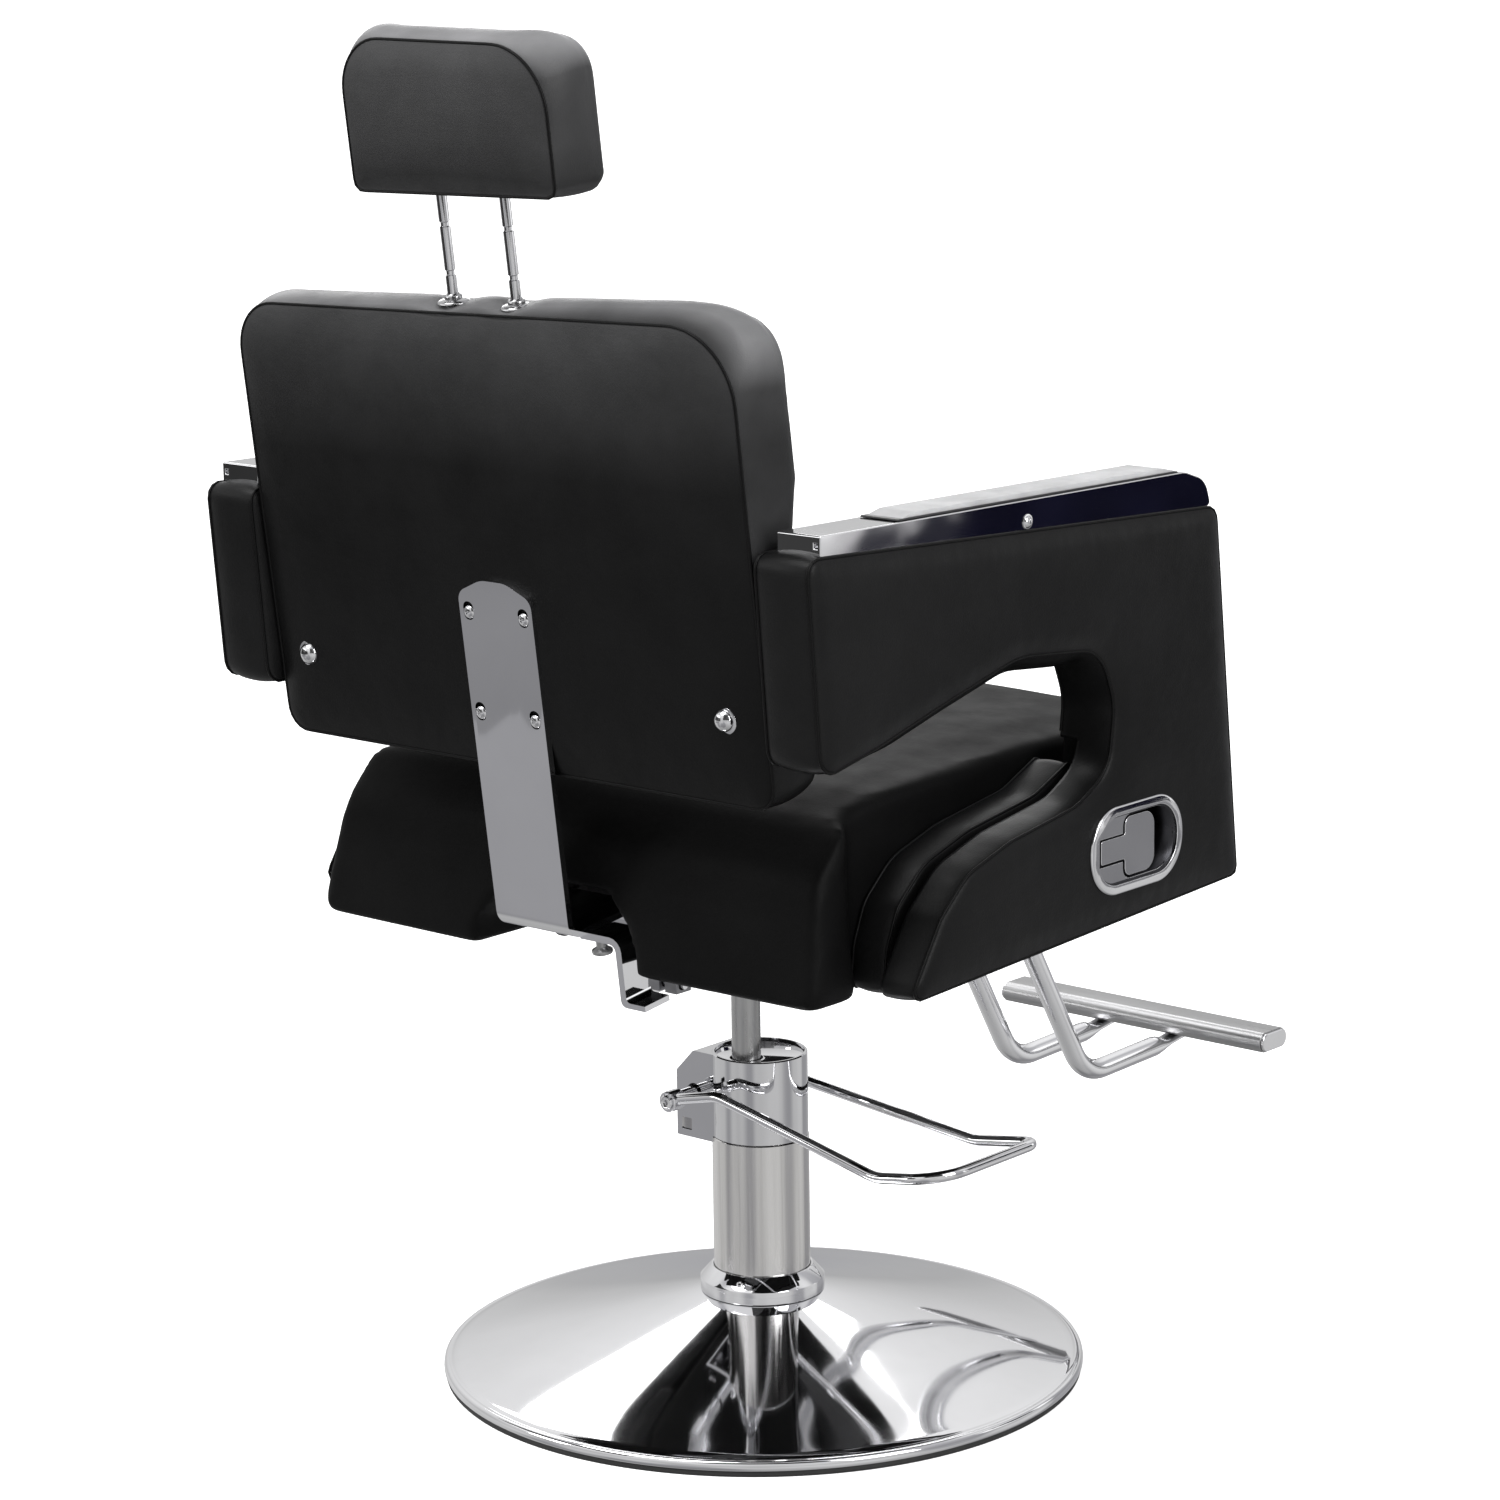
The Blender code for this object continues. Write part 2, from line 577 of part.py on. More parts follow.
def build_lever(panel):
    face = -PANEL_OUT
    cut(panel, plate("lever_pocket", stadium(0.0585, 0.0345), face - 0.010, face + 0.0265, "X", "steel"))
    cut(panel, rod("cable_bore", (-0.2700, -0.112, 0.4480), (-0.3000, -0.112, 0.4480), 0.0040, "steel", 12))
    ring = plate("lever_escutcheon", stadium(0.0660, 0.0420), face - 0.0045, face - FIT, "X", "chrome", steps=6)
    join(ring, plate("escutcheon_cup", stadium(0.0580, 0.0340), face - 0.0040, face + 0.0260, "X", "chrome"))
    cut(ring, plate("cup_hollow", stadium(0.0555, 0.0315), face - 0.010, face + 0.0235, "X", "steel", steps=6))
    pivot = empty("lever_pivot", (LEVER_PIVOT_X, LEVER_PIVOT_Y, LEVER_Z))
    tab = 0.0120
    wide = 0.0290
    outline = [(0.0125, -tab, 0.003), (0.0125, tab, 0.003), (-0.0215, tab, 0.003), (-0.0215, wide, 0.008),
               (-0.0670, wide, 0.014), (-0.0670, -wide, 0.014), (-0.0215, -wide, 0.008), (-0.0215, -tab, 0.003)]
    paddle = plate("recline_lever", outline, -0.0030, 0.0005, "X", "chrome", pivot, 3)
    bevelled(paddle, 0.0006, 1)


# ---------------------------------------------------------------- footrest


def build_footrest():
    for side, sign in (("left", 1.0), ("right", -1.0)):
        x = sign * FOOT_X
        corners = [(x, -0.126, 0.4190, 0.0), (x, -0.2870, 0.4190, 0.040), (x, -0.4290, 0.1795, 0.052),
                   (x, -0.5590, 0.1830, 0.020), (x, -0.5790, 0.1875, 0.0)]
        leg = tube(f"footrest_tube_{side}", corners, FOOT_TUBE_RADIUS, "chrome", 3, None, 6)
        cut(leg, block("tube_cope", (x - 0.03, -0.62, 0.1888), (x + 0.03, -0.5617, 0.230), "steel"))
    section = [(-0.5625, 0.1898, 0.0095), (-0.6060, 0.1898, 0.0095), (-0.6060, 0.2100, 0.0095),
               (-0.5625, 0.2100, 0.0095)]
    plate("footrest_bar", section, -FOOTBAR_HALF, FOOTBAR_HALF, "X", "satin", steps=4)
    clamp = block("footrest_clamp", (-0.064, -0.205, 0.4050), (0.064, -0.165, 0.4320), "black_steel")
    for sign in (-1.0, 1.0):
        x = sign * FOOT_X
        cut(clamp, rod("clamp_bore", (x, -0.220, 0.4190), (x, -0.150, 0.4190), FOOT_TUBE_RADIUS + 0.0004,
                       "steel", 20))


# ---------------------------------------------------------------- back, in its own leaning frame


SCREWS = {"upper_left": (0.0310, 0.2990), "upper_right": (-0.0310, 0.2990),
          "lower_left": (0.0310, 0.2115), "lower_right": (-0.0310, 0.2115)}
BOLT_X = 0.2365
BOLT_Z = 0.2366


def build_bracket(pivot):
    rear = BRACKET_REAR
    front = BRACKET_REAR - BRACKET_THICK
    low = 0.0180
    high = low + BRACKET_THICK
    profile = [(rear, 0.340, 0.0), (rear, low, 0.016), (0.0085, low, 0.0), (0.0085, 0.0, 0.0),
               (-0.0085, 0.0, 0.0), (-0.0085, high, 0.010), (front, high, 0.010), (front, 0.340, 0.0)]
    bar = plate("back_bracket", profile, -BRACKET_HALF, BRACKET_HALF, "X", "chrome", pivot)
    join(bar, rod("knuckle", (-0.0405, 0.0, 0.0), (0.0405, 0.0, 0.0), 0.0098, "chrome", 20, pivot))
    cut(bar, rod("knuckle_bore", (-0.060, 0.0, 0.0), (0.060, 0.0, 0.0), 0.0055, "steel", 16, pivot))
    half = BRACKET_HALF + 0.010
    crown = 0.3275
    crest = [(-half, 0.3050, 0.0), (-BRACKET_HALF, 0.3125, 0.0), (-0.030, 0.3200, 0.0), (-0.013, 0.3265, 0.0),
             (0.0, crown, 0.0), (0.013, 0.3265, 0.0), (0.030, 0.3200, 0.0), (BRACKET_HALF, 0.3125, 0.0),
             (half, 0.3050, 0.0), (half, 0.360, 0.0), (-half, 0.360, 0.0)]
    cut(bar, plate("bracket_crest", crest, 0.060, 0.100, "Y", "steel", pivot))
    for x, z in SCREWS.values():
        cut(bar, rod("screw_hole", (x, 0.060, z), (x, 0.100, z), 0.0034, "steel", 12, pivot))
    return bar


def build_screws(pivot, board):
    for name, (x, z) in SCREWS.items():
        profile = [(0.0, 0.0034), (0.0030, 0.0030), (0.0062, 0.0), (0.0028, 0.0), (0.0028, -0.0170),
                   (0.0, -0.0170)]
        turned(f"bracket_screw_{name}", profile, "chrome", steps=14, closed=False, parent=pivot,
               location=(x, BRACKET_REAR + FIT, z), rotation=(-math.pi / 2.0, 0.0, 0.0))
        cut(board, rod("board_screw_hole", (x, 0.050, z), (x, 0.090, z), 0.0031, "steel", 10, pivot))
    for side, sign in (("left", 1.0), ("right", -1.0)):
        profile = [(0.0, 0.0072), (0.0045, 0.0064), (0.0080, 0.0040), (0.0092, 0.0015), (0.0112, 0.0012),
                   (0.0116, 0.0), (0.0035, 0.0), (0.0035, -0.0100), (0.0, -0.0100)]
        turned(f"back_bolt_{side}", profile, "chrome", steps=20, closed=False, parent=pivot,
               location=(sign * BOLT_X, BACK_REAR + FIT, BOLT_Z), rotation=(-math.pi / 2.0, 0.0, 0.0))
        cut(board, rod("board_bolt_hole", (sign * BOLT_X, 0.050, BOLT_Z), (sign * BOLT_X, 0.090, BOLT_Z), 0.0038,
                       "steel", 12, pivot))


def build_back(pivot):
    front = BACK_REAR - BACK_BOARD
    half = BACK_HALF - 0.010
    outline = [(-half, BACK_LOW + 0.008, 0.012), (half, BACK_LOW + 0.008, 0.012), (half, BACK_HIGH - 0.010, 0.045),
               (-half, BACK_HIGH - 0.010, 0.045)]
    board = plate("back_board", outline, front, BACK_REAR, "Y", "wood", pivot)
    outline = [(-BACK_HALF, BACK_LOW, 0.018), (BACK_HALF, BACK_LOW, 0.018), (BACK_HALF, BACK_HIGH, 0.055),
               (-BACK_HALF, BACK_HIGH, 0.055)]
    cushion = plate("back_cushion", outline, BACK_FRONT, front - FIT, "Y", "leather", pivot)
    for sign in (-1.0, 1.0):
        x = sign * POST_X
        cut(cushion, rod("guide_bore", (x, POST_Y, 0.350), (x, POST_Y, 0.600), 0.0084, "steel", 16, pivot))
        cut(cushion, rod("guide_flange_room", (x, POST_Y, BACK_HIGH - 0.0012), (x, POST_Y, 0.600), 0.0120,
                         "steel", 20, pivot))
    for side, sign in (("left", 1.0), ("right", -1.0)):
        top = BACK_HIGH + 0.0015
        profile = [(0.0085, top + 0.0016), (0.0110, top + 0.0004), (0.0110, top - 0.0020), (0.0080, top - 0.0022),
                   (0.0080, 0.390), (0.0051, 0.390), (0.0051, top + 0.0016)]
        turned(f"post_guide_{side}", profile, "chrome", steps=18, parent=pivot,
               location=(sign * POST_X, POST_Y, 0.0))
    return board


def build_recline_arm(pivot):
    """The lever under the bracket's flange that carries the gas spring's pin below the seat."""
    top = 0.0180 - FIT
    start = -0.0755
    end = -0.0690
    low = -0.0385
    profile = [(-0.0300, top, 0.0), (start, top, 0.012), (start, low - 0.0005, 0.004), (-0.0960, low - 0.0005, 0.0),
               (-0.0960, low - 0.0055, 0.0), (end, low - 0.0055, 0.006), (end, top - 0.0065, 0.006),
               (-0.0300, top - 0.0065, 0.0)]
    arm = plate("recline_arm", profile, 0.0270, 0.0580, "Y", "chrome", pivot)
    lobe = [(0.0300, -0.0150, 0.004), (0.0300, -0.0430, 0.006), (-0.0050, -0.0455, 0.006),
            (-0.0100, -0.0390, 0.006), (-0.0050, -0.0320, 0.008), (0.0120, -0.0150, 0.010)]
    join(arm, plate("arm_lobe", lobe, start + 0.0002, end - 0.0002, "X", "chrome", pivot, 2))
    lean_y, lean_z = spring_pin()
    join(arm, rod("spring_pin", (end - 0.0010, lean_y, lean_z), (-0.0950, lean_y, lean_z), 0.0034, "chrome", 14,
                  pivot))
    cut(arm, block("knuckle_room", (-0.0425, -0.020, 0.0), (-0.020, 0.0240, 0.020), "steel", pivot))
    z = top - 0.0065 - FIT
    for index, (x, y) in enumerate(((-0.0445, 0.0480), (-0.0594, 0.0340))):
        profile = [(0.0, z), (0.0048, z), (0.0048, z - 0.0080), (0.0092, z - 0.0110), (0.0080, z - 0.0140),
                   (0.0, z - 0.0150)]
        turned(f"stop_stud_{index + 1}", profile, "satin", steps=16, closed=False, parent=pivot,
               location=(x, y, 0.0))


def spring_pin():
    """The gas spring's pin, straight under the hinge, in the back's leaning frame."""
    drop = SPRING_PIN_Z - HINGE_Z
    return -drop * math.sin(BACK_LEAN), drop * math.cos(BACK_LEAN)


def build_headrest(pivot):
    slide = empty("headrest_slide", (0.0, POST_Y, 0.0), parent=pivot)
    for side, sign in (("left", 1.0), ("right", -1.0)):
        radius = POST_RADIUS
        profile = [(0.0, 0.700), (radius, 0.700)]
        for height in (0.618, 0.578):
            profile += [(radius, height + 0.003), (radius - 0.0012, height + 0.0015),
                        (radius - 0.0012, height - 0.0015), (radius, height - 0.003)]
        profile += [(radius, 0.440), (0.0, 0.440)]
        turned(f"headrest_post_{side}", profile, "chrome", steps=14, closed=False, parent=slide,
               location=(sign * POST_X, 0.0, 0.0))
    outline = [(-HEADREST_HALF, HEADREST_LOW, 0.008), (HEADREST_HALF, HEADREST_LOW, 0.008),
               (HEADREST_HALF, HEADREST_HIGH, 0.050), (-HEADREST_HALF, HEADREST_HIGH, 0.050)]
    cushion = plate("headrest_cushion", outline, HEADREST_FRONT - POST_Y, BACK_REAR - POST_Y, "Y", "leather",
                    slide)
    for sign in (-1.0, 1.0):
        x = sign * POST_X
        cut(cushion, rod("post_socket", (x, 0.0, 0.600), (x, 0.0, 0.7010), POST_RADIUS + FIT, "steel", 14, slide))


def build_chair():
    build_base()
    build_pump()
    build_ram()
    build_pedal()
    build_seat()
    build_seat_mechanism()
    build_side("left", 1.0)
    build_side("right", -1.0)
    build_footrest()
    pivot = empty("back_pivot", (0.0, HINGE_Y, HINGE_Z), (-BACK_LEAN, 0.0, 0.0))
    build_bracket(pivot)
    board = build_back(pivot)
    build_screws(pivot, board)
    build_recline_arm(pivot)
    build_headrest(pivot)


clear_scene()
PARTS = new_collection("styling_chair")
CUTTERS = new_collection("cutters")
MATERIALS = build_materials()
build_chair()
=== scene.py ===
"""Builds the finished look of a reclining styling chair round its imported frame.

Every length is in metres. The sitter faces -Y, the sitter's right is -X, and the origin is the middle of the
pedestal's foot, on the floor.
"""

import json
import math

import bmesh
import bpy
import numpy as np
from bpy.props import FloatProperty, FloatVectorProperty, IntProperty, PointerProperty
from mathutils import Matrix, Vector, geometry


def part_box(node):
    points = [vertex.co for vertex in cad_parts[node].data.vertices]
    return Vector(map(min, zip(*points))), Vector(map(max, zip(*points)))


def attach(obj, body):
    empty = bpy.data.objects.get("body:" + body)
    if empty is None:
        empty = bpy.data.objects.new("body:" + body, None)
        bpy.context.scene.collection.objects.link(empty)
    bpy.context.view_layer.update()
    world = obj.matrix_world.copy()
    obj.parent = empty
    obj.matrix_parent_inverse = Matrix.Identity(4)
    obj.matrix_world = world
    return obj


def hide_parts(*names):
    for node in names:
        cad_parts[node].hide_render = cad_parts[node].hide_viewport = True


bl_info = {
    "name": "Styling Chair Looks",
    "version": (1, 0, 0),
    "blender": (4, 5, 0),
    "location": "View3D > Sidebar > Chair",
    "description": "Upholstery, metalwork and studio for a reclining styling chair",
    "category": "Object",
}

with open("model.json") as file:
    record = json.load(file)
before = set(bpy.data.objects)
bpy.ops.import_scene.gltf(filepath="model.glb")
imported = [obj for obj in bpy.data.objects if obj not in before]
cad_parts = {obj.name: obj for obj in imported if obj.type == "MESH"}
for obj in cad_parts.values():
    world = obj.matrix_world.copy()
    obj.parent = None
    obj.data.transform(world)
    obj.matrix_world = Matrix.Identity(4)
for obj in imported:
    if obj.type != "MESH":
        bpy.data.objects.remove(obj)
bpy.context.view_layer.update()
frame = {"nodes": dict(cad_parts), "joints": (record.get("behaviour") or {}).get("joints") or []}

SIDES = (("left", 1.0), ("right", -1.0))
TINY = 1e-6


def joint(name):
    """The frame's record of a joint, by name."""
    return next(found for found in frame["joints"] if found["name"] == name)


HINGE = Vector(joint("back_recline")["pos_m"])
RAM_AXIS = Vector(joint("seat_swivel")["pos_m"])
LEVER_AXIS = Vector(joint("recline_lever_hinge")["pos_m"])
PEDAL_AXIS = Vector(joint("pedal_hinge")["pos_m"])
UP_BACK = Vector(joint("headrest_slide")["axis"])
LEAN = math.atan2(UP_BACK.y, UP_BACK.z)
BACK_FRAME = Matrix.Translation(HINGE) @ Matrix.Rotation(-LEAN, 4, "X")


# ---------------------------------------------------------------- sizes and colours a user would change


class ChairLeatherSettings(bpy.types.PropertyGroup):
    colour: FloatVectorProperty(name="Leather colour", description="Colour of the upholstery",
                                default=(0.0041, 0.0041, 0.0042), size=3, min=0.0, max=1.0, subtype="COLOR")
    gloss: FloatProperty(name="Leather roughness", description="How dull the leather is",
                         default=0.39, min=0.05, max=1.0, subtype="FACTOR")
    grain: FloatProperty(name="Grain size", description="Distance between the pebbles of the grain",
                         default=0.0013, min=0.0003, max=0.01, unit="LENGTH")
    fullness: FloatProperty(name="Fullness", description="Share of the padding's swelling between its seams",
                            default=1.0, min=0.0, max=2.0, subtype="FACTOR")
    # Painted light: the headrest's hide is painted this many times lighter than the rest of the leather, standing in
    # for the light that falls on it.
    headrest: FloatProperty(name="Headrest lightness", description="How many times lighter the headrest's hide is",
                            default=5.0, min=1.0, max=20.0)
    welt: FloatProperty(name="Welt radius", description="Radius of the piping sewn into the seams",
                        default=0.0013, min=0.0005, max=0.004, unit="LENGTH")
    spacing: FloatProperty(name="Mesh spacing", description="Distance between the points of the covers",
                           default=0.0085, min=0.003, max=0.02, unit="LENGTH")


class ChairMetalSettings(bpy.types.PropertyGroup):
    chrome: FloatVectorProperty(name="Chrome colour", description="Colour of the chromed parts",
                                default=(0.80, 0.80, 0.815), size=3, min=0.0, max=1.0, subtype="COLOR")
    polish: FloatProperty(name="Chrome roughness", description="How dull the chrome is",
                          default=0.045, min=0.0, max=0.5, subtype="FACTOR")
    satin: FloatProperty(name="Satin roughness", description="How dull the brushed steel is",
                         default=0.30, min=0.05, max=0.8, subtype="FACTOR")
    turns: IntProperty(name="Turned steps", description="Segments round each turned part",
                       default=96, min=24, max=256)
    edges: FloatProperty(name="Edge rounding", description="Share of the rounding on the metal's edges",
                         default=1.0, min=0.1, max=1.5, subtype="FACTOR")


class ChairStageSettings(bpy.types.PropertyGroup):
    azimuth: FloatProperty(name="Azimuth", description="Direction the camera stands in, from the front",
                           default=math.radians(220.798), subtype="ANGLE")
    elevation: FloatProperty(name="Elevation", description="Height angle of the camera",
                             default=math.radians(12.0987), subtype="ANGLE")
    distance: FloatProperty(name="Distance", description="From the camera to what it looks at",
                            default=3.9684, min=1.0, max=20.0, unit="LENGTH")
    aim: FloatVectorProperty(name="Aim", description="The point the camera looks at",
                             default=(0.0064, 0.0, 0.568), size=3, subtype="TRANSLATION", unit="LENGTH")
    roll: FloatProperty(name="Roll", description="Tilt of the camera about its own axis",
                        default=math.radians(-0.782), subtype="ANGLE")
    lens: FloatProperty(name="Lens", description="Focal length in millimetres on a 36 mm sensor",
                        default=107.65, min=20.0, max=300.0)
    floor: FloatProperty(name="Floor brightness", description="Brightness of the pale floor",
                         default=0.93, min=0.1, max=1.0, subtype="FACTOR")
    key: FloatProperty(name="Key light", description="Strength of the large overhead light",
                       default=1.6, min=0.0, max=20.0)


# ---------------------------------------------------------------- shader nodes


def node(tree, kind, label=None, **values):
    """A new shader node with a label and its own settings."""
    made = tree.nodes.new(kind)
    made.label = label or ""
    for name, value in values.items():
        setattr(made, name, value)
    return made


def feed(tree, target, **sources):
    """Sets or links a node's inputs by name, with underscores for the spaces."""
    for name, source in sources.items():
        socket = target.inputs[name.replace("_", " ")]
        if isinstance(source, bpy.types.NodeSocket):
            tree.links.new(source, socket)
        else:
            socket.default_value = source
    return target


def start_material(name):
    """An empty material with its tree, its shader and the place on the piece."""
    made = bpy.data.materials.new(name)
    made.use_nodes = True
    tree = made.node_tree
    shader = tree.nodes["Principled BSDF"]
    place = node(tree, "ShaderNodeTexCoord", "place on the piece").outputs["Object"]
    return made, tree, shader, place


def stretch(tree, place, scale):
    """The place, scaled apart on each axis."""
    return feed(tree, node(tree, "ShaderNodeMapping", "direction"), Vector=place, Scale=scale).outputs["Vector"]


def noise(tree, place, scale, detail=3.0, roughness=0.5):
    """Soft random variation over the surface."""
    made = node(tree, "ShaderNodeTexNoise", "variation")
    feed(tree, made, Vector=place, Scale=scale, Detail=detail, Roughness=roughness)
    return made.outputs["Fac"]


def cells(tree, place, scale, feature="SMOOTH_F1"):
    """Distance from the middle of each cell of a cell pattern."""
    made = node(tree, "ShaderNodeTexVoronoi", "pebbles", feature=feature)
    feed(tree, made, Vector=place, Scale=scale)
    return made.outputs["Distance"]


def spread(tree, source, low, high, start=0.3, end=0.7):
    """A value taken from one range to another."""
    made = node(tree, "ShaderNodeMapRange", "range")
    feed(tree, made, Value=source, From_Min=start, From_Max=end, To_Min=low, To_Max=high)
    return made.outputs["Result"]


def ramp(tree, source, stops):
    """Colours along a value; stops are (position, colour)."""
    made = node(tree, "ShaderNodeValToRGB", "tones")
    feed(tree, made, Fac=source)
    band = made.color_ramp.elements
    while len(band) < len(stops):
        band.new(0.5)
    for element, (place, colour) in zip(band, stops):
        element.position = place
        element.color = (*colour, 1.0)
    return made.outputs["Color"]


def relief(tree, height, depth, below=None):
    """Small relief of a depth, on top of another relief where one is given."""
    made = node(tree, "ShaderNodeBump", "relief")
    feed(tree, made, Height=height, Strength=1.0, Distance=depth)
    if below is not None:
        feed(tree, made, Normal=below)
    return made.outputs["Normal"]


def scaled(colour, factor):
    """A colour made lighter or darker."""
    return tuple(min(1.0, value * factor) for value in colour)


def blend(tree, share, first, second):
    """Goes from the first colour to the second as the share goes from 0 to 1."""
    made = node(tree, "ShaderNodeMix", "blend", data_type="RGBA")
    tree.links.new(share, made.inputs[0])
    tree.links.new(first, made.inputs[6])
    tree.links.new(second, made.inputs[7])
    return made.outputs[2]


def along(tree, source, axis):
    """One coordinate of a vector."""
    made = node(tree, "ShaderNodeSeparateXYZ", "along an axis")
    feed(tree, made, Vector=source)
    return made.outputs[axis]


def facing(tree, axis, low, high):
    """0 to 1 as the surface turns towards an axis of the piece, either way along it."""
    normal = node(tree, "ShaderNodeTexCoord", "facing").outputs["Normal"]
    size = node(tree, "ShaderNodeMath", "either way", operation="ABSOLUTE")
    tree.links.new(along(tree, normal, axis), size.inputs[0])
    return spread(tree, size.outputs[0], 0.0, 1.0, low, high)


# Painted light and shade: the heights between which the leather is painted lighter or darker, and the largest share of
# painted light.
PAINTED_LIGHT_LOW, PAINTED_LIGHT_HIGH = 0.5, 1.3
MOST_PAINTED_LIGHT = 20.0
TONE_START, TONE_END = 0.30, 0.70
DARK_HIDE, LIGHT_HIDE = 0.78, 1.30


def hide_with_painted_light(tree, place, tone, colour, stops):
    """The hide's colour times a share that changes with height, which paints light and shade on it; stops are (height,
    share).
    """
    height = spread(tree, along(tree, place, "Z"), 0.0, 1.0, PAINTED_LIGHT_LOW, PAINTED_LIGHT_HIGH)
    level = ramp(tree, height, [((z - PAINTED_LIGHT_LOW) / (PAINTED_LIGHT_HIGH - PAINTED_LIGHT_LOW), (share / MOST_PAINTED_LIGHT,) * 3)
                                for z, share in stops])
    hide = ramp(tree, tone, [(TONE_START, scaled(colour, DARK_HIDE * MOST_PAINTED_LIGHT)),
                             (TONE_END, scaled(colour, LIGHT_HIDE * MOST_PAINTED_LIGHT))])
    product = node(tree, "ShaderNodeMix", "painted_light_by_height", data_type="RGBA", blend_type="MULTIPLY")
    product.inputs[0].default_value = 1.0
    tree.links.new(hide, product.inputs[6])
    tree.links.new(level, product.inputs[7])
    return product.outputs[2]


def leather_material(settings, name="black_leather", worn=1.0, shade_of=1.0, painted_light_stops=None, sheen=0.14,
                     duller=0.0):
    """Pebbled leather; worn is the depth of its creases and shade_of its lightness, which is painted light on the
    headrest and painted shade on the seat.

    Where given, the painted light and shade holds three things: the (height, share) stops of the big panel and of the
    strip round it, and the axis and range over which the surface turns from one to the other. They paint the leather
    lighter or darker by height, and the strip lighter than the panel.
    """
    made, tree, shader, place = start_material(name)
    colour = scaled(tuple(settings.colour), shade_of)
    pebble = 1.0 / settings.grain
    tone = noise(tree, place, 9.0, 4.0, 0.6)
    if painted_light_stops is None:
        shade = ramp(tree, tone, [(TONE_START, scaled(colour, DARK_HIDE)), (TONE_END, scaled(colour, LIGHT_HIDE))])
    else:
        # Painted light and shade: the panel and the strip round it each get their own painted lightness by height,
        # blended by which way the surface faces.
        panel, strip, turn = painted_light_stops
        shade = blend(tree, facing(tree, *turn), hide_with_painted_light(tree, place, tone, colour, panel),
                      hide_with_painted_light(tree, place, tone, colour, strip))
    dull = spread(tree, noise(tree, place, 23.0, 5.0, 0.6), settings.gloss + duller - 0.05,
                  settings.gloss + duller + 0.07)
    creases = relief(tree, noise(tree, place, 14.0, 3.0, 0.45), 0.0016 * worn)
    stretched = relief(tree, noise(tree, stretch(tree, place, (1.0, 1.0, 3.2)), 55.0, 2.0), 0.00012, creases)
    grain = relief(tree, cells(tree, place, pebble), 0.00009, stretched)
    pores = relief(tree, noise(tree, place, pebble * 2.6, 2.0), 0.00003, grain)
    feed(tree, shader, Base_Color=shade, Roughness=dull, Normal=pores)
    shader.inputs["Specular IOR Level"].default_value = sheen
    return made


def chrome_material(settings, name="chrome", tint=1.0, extra=0.0):
    """Polished chrome with a slight haze; extra makes it duller."""
    made, tree, shader, place = start_material(name)
    colour = scaled(tuple(settings.chrome), tint)
    haze = noise(tree, place, 6.0, 4.0, 0.6)
    shade = ramp(tree, haze, [(0.3, scaled(colour, 0.96)), (0.7, scaled(colour, 1.04))])
    polish = settings.polish + extra
    dull = spread(tree, noise(tree, place, 12.0, 3.0, 0.5), polish * 0.7, polish * 1.4)
    wave = relief(tree, noise(tree, place, 9.0, 1.0), 0.00010)
    feed(tree, shader, Base_Color=shade, Roughness=dull, Normal=wave)
    shader.inputs["Metallic"].default_value = 1.0
    return made


def brushed_material(settings, name, direction, colour=(0.70, 0.69, 0.68), contrast=1.0, duller=0.0):
    """Steel with fine and broad lines; direction holds the scales that draw the lines out."""
    made, tree, shader, place = start_material(name)
    lines = noise(tree, stretch(tree, place, direction), 130.0, 5.0, 0.65)
    broad = noise(tree, stretch(tree, place, direction), 22.0, 3.0, 0.55)
    mixed = node(tree, "ShaderNodeMix", "fine and broad lines", data_type="FLOAT")
    mixed.inputs[0].default_value = 0.45
    tree.links.new(lines, mixed.inputs[2])
    tree.links.new(broad, mixed.inputs[3])
    both = mixed.outputs[0]
    shade = ramp(tree, both, [(0.32, scaled(colour, 1.0 - 0.38 * contrast)), (0.52, colour),
                              (0.72, scaled(colour, 1.0 + 0.25 * contrast))])
    dull = spread(tree, lines, settings.satin + duller - 0.07, settings.satin + duller + 0.10)
    feed(tree, shader, Base_Color=shade, Roughness=dull, Normal=relief(tree, lines, 0.00003))
    shader.inputs["Metallic"].default_value = 1.0
    return made


def painted_material(name, colour, roughness, metallic=0.0, texture=0.00005, scale=900.0):
    """Paint, plastic, rubber or plain steel: an uneven tone with a fine texture."""
    made, tree, shader, place = start_material(name)
    tone = noise(tree, place, 16.0, 4.0)
    shade = ramp(tree, tone, [(0.3, scaled(colour, 0.8)), (0.7, scaled(colour, 1.25))])
    dull = spread(tree, noise(tree, place, 60.0, 4.0), roughness - 0.05, roughness + 0.07)
    feed(tree, shader, Base_Color=shade, Roughness=dull,
         Normal=relief(tree, noise(tree, place, scale, 3.0), texture))
    shader.inputs["Metallic"].default_value = metallic
    return made


def floor_material(brightness):
    """A pale floor that glows a little, so that it stays even."""
    made, tree, shader, place = start_material("pale_floor")
    tone = ramp(tree, noise(tree, place, 0.7, 2.0),
                [(0.3, (brightness * 0.995,) * 3), (0.7, (brightness,) * 3)])
    feed(tree, shader, Base_Color=tone, Roughness=0.9)
    shader.inputs["Specular IOR Level"].default_value = 0.0
    shader.inputs["Emission Color"].default_value = (1.0, 1.0, 1.0, 1.0)
    shader.inputs["Emission Strength"].default_value = 0.55
    return made


MATERIALS = {}


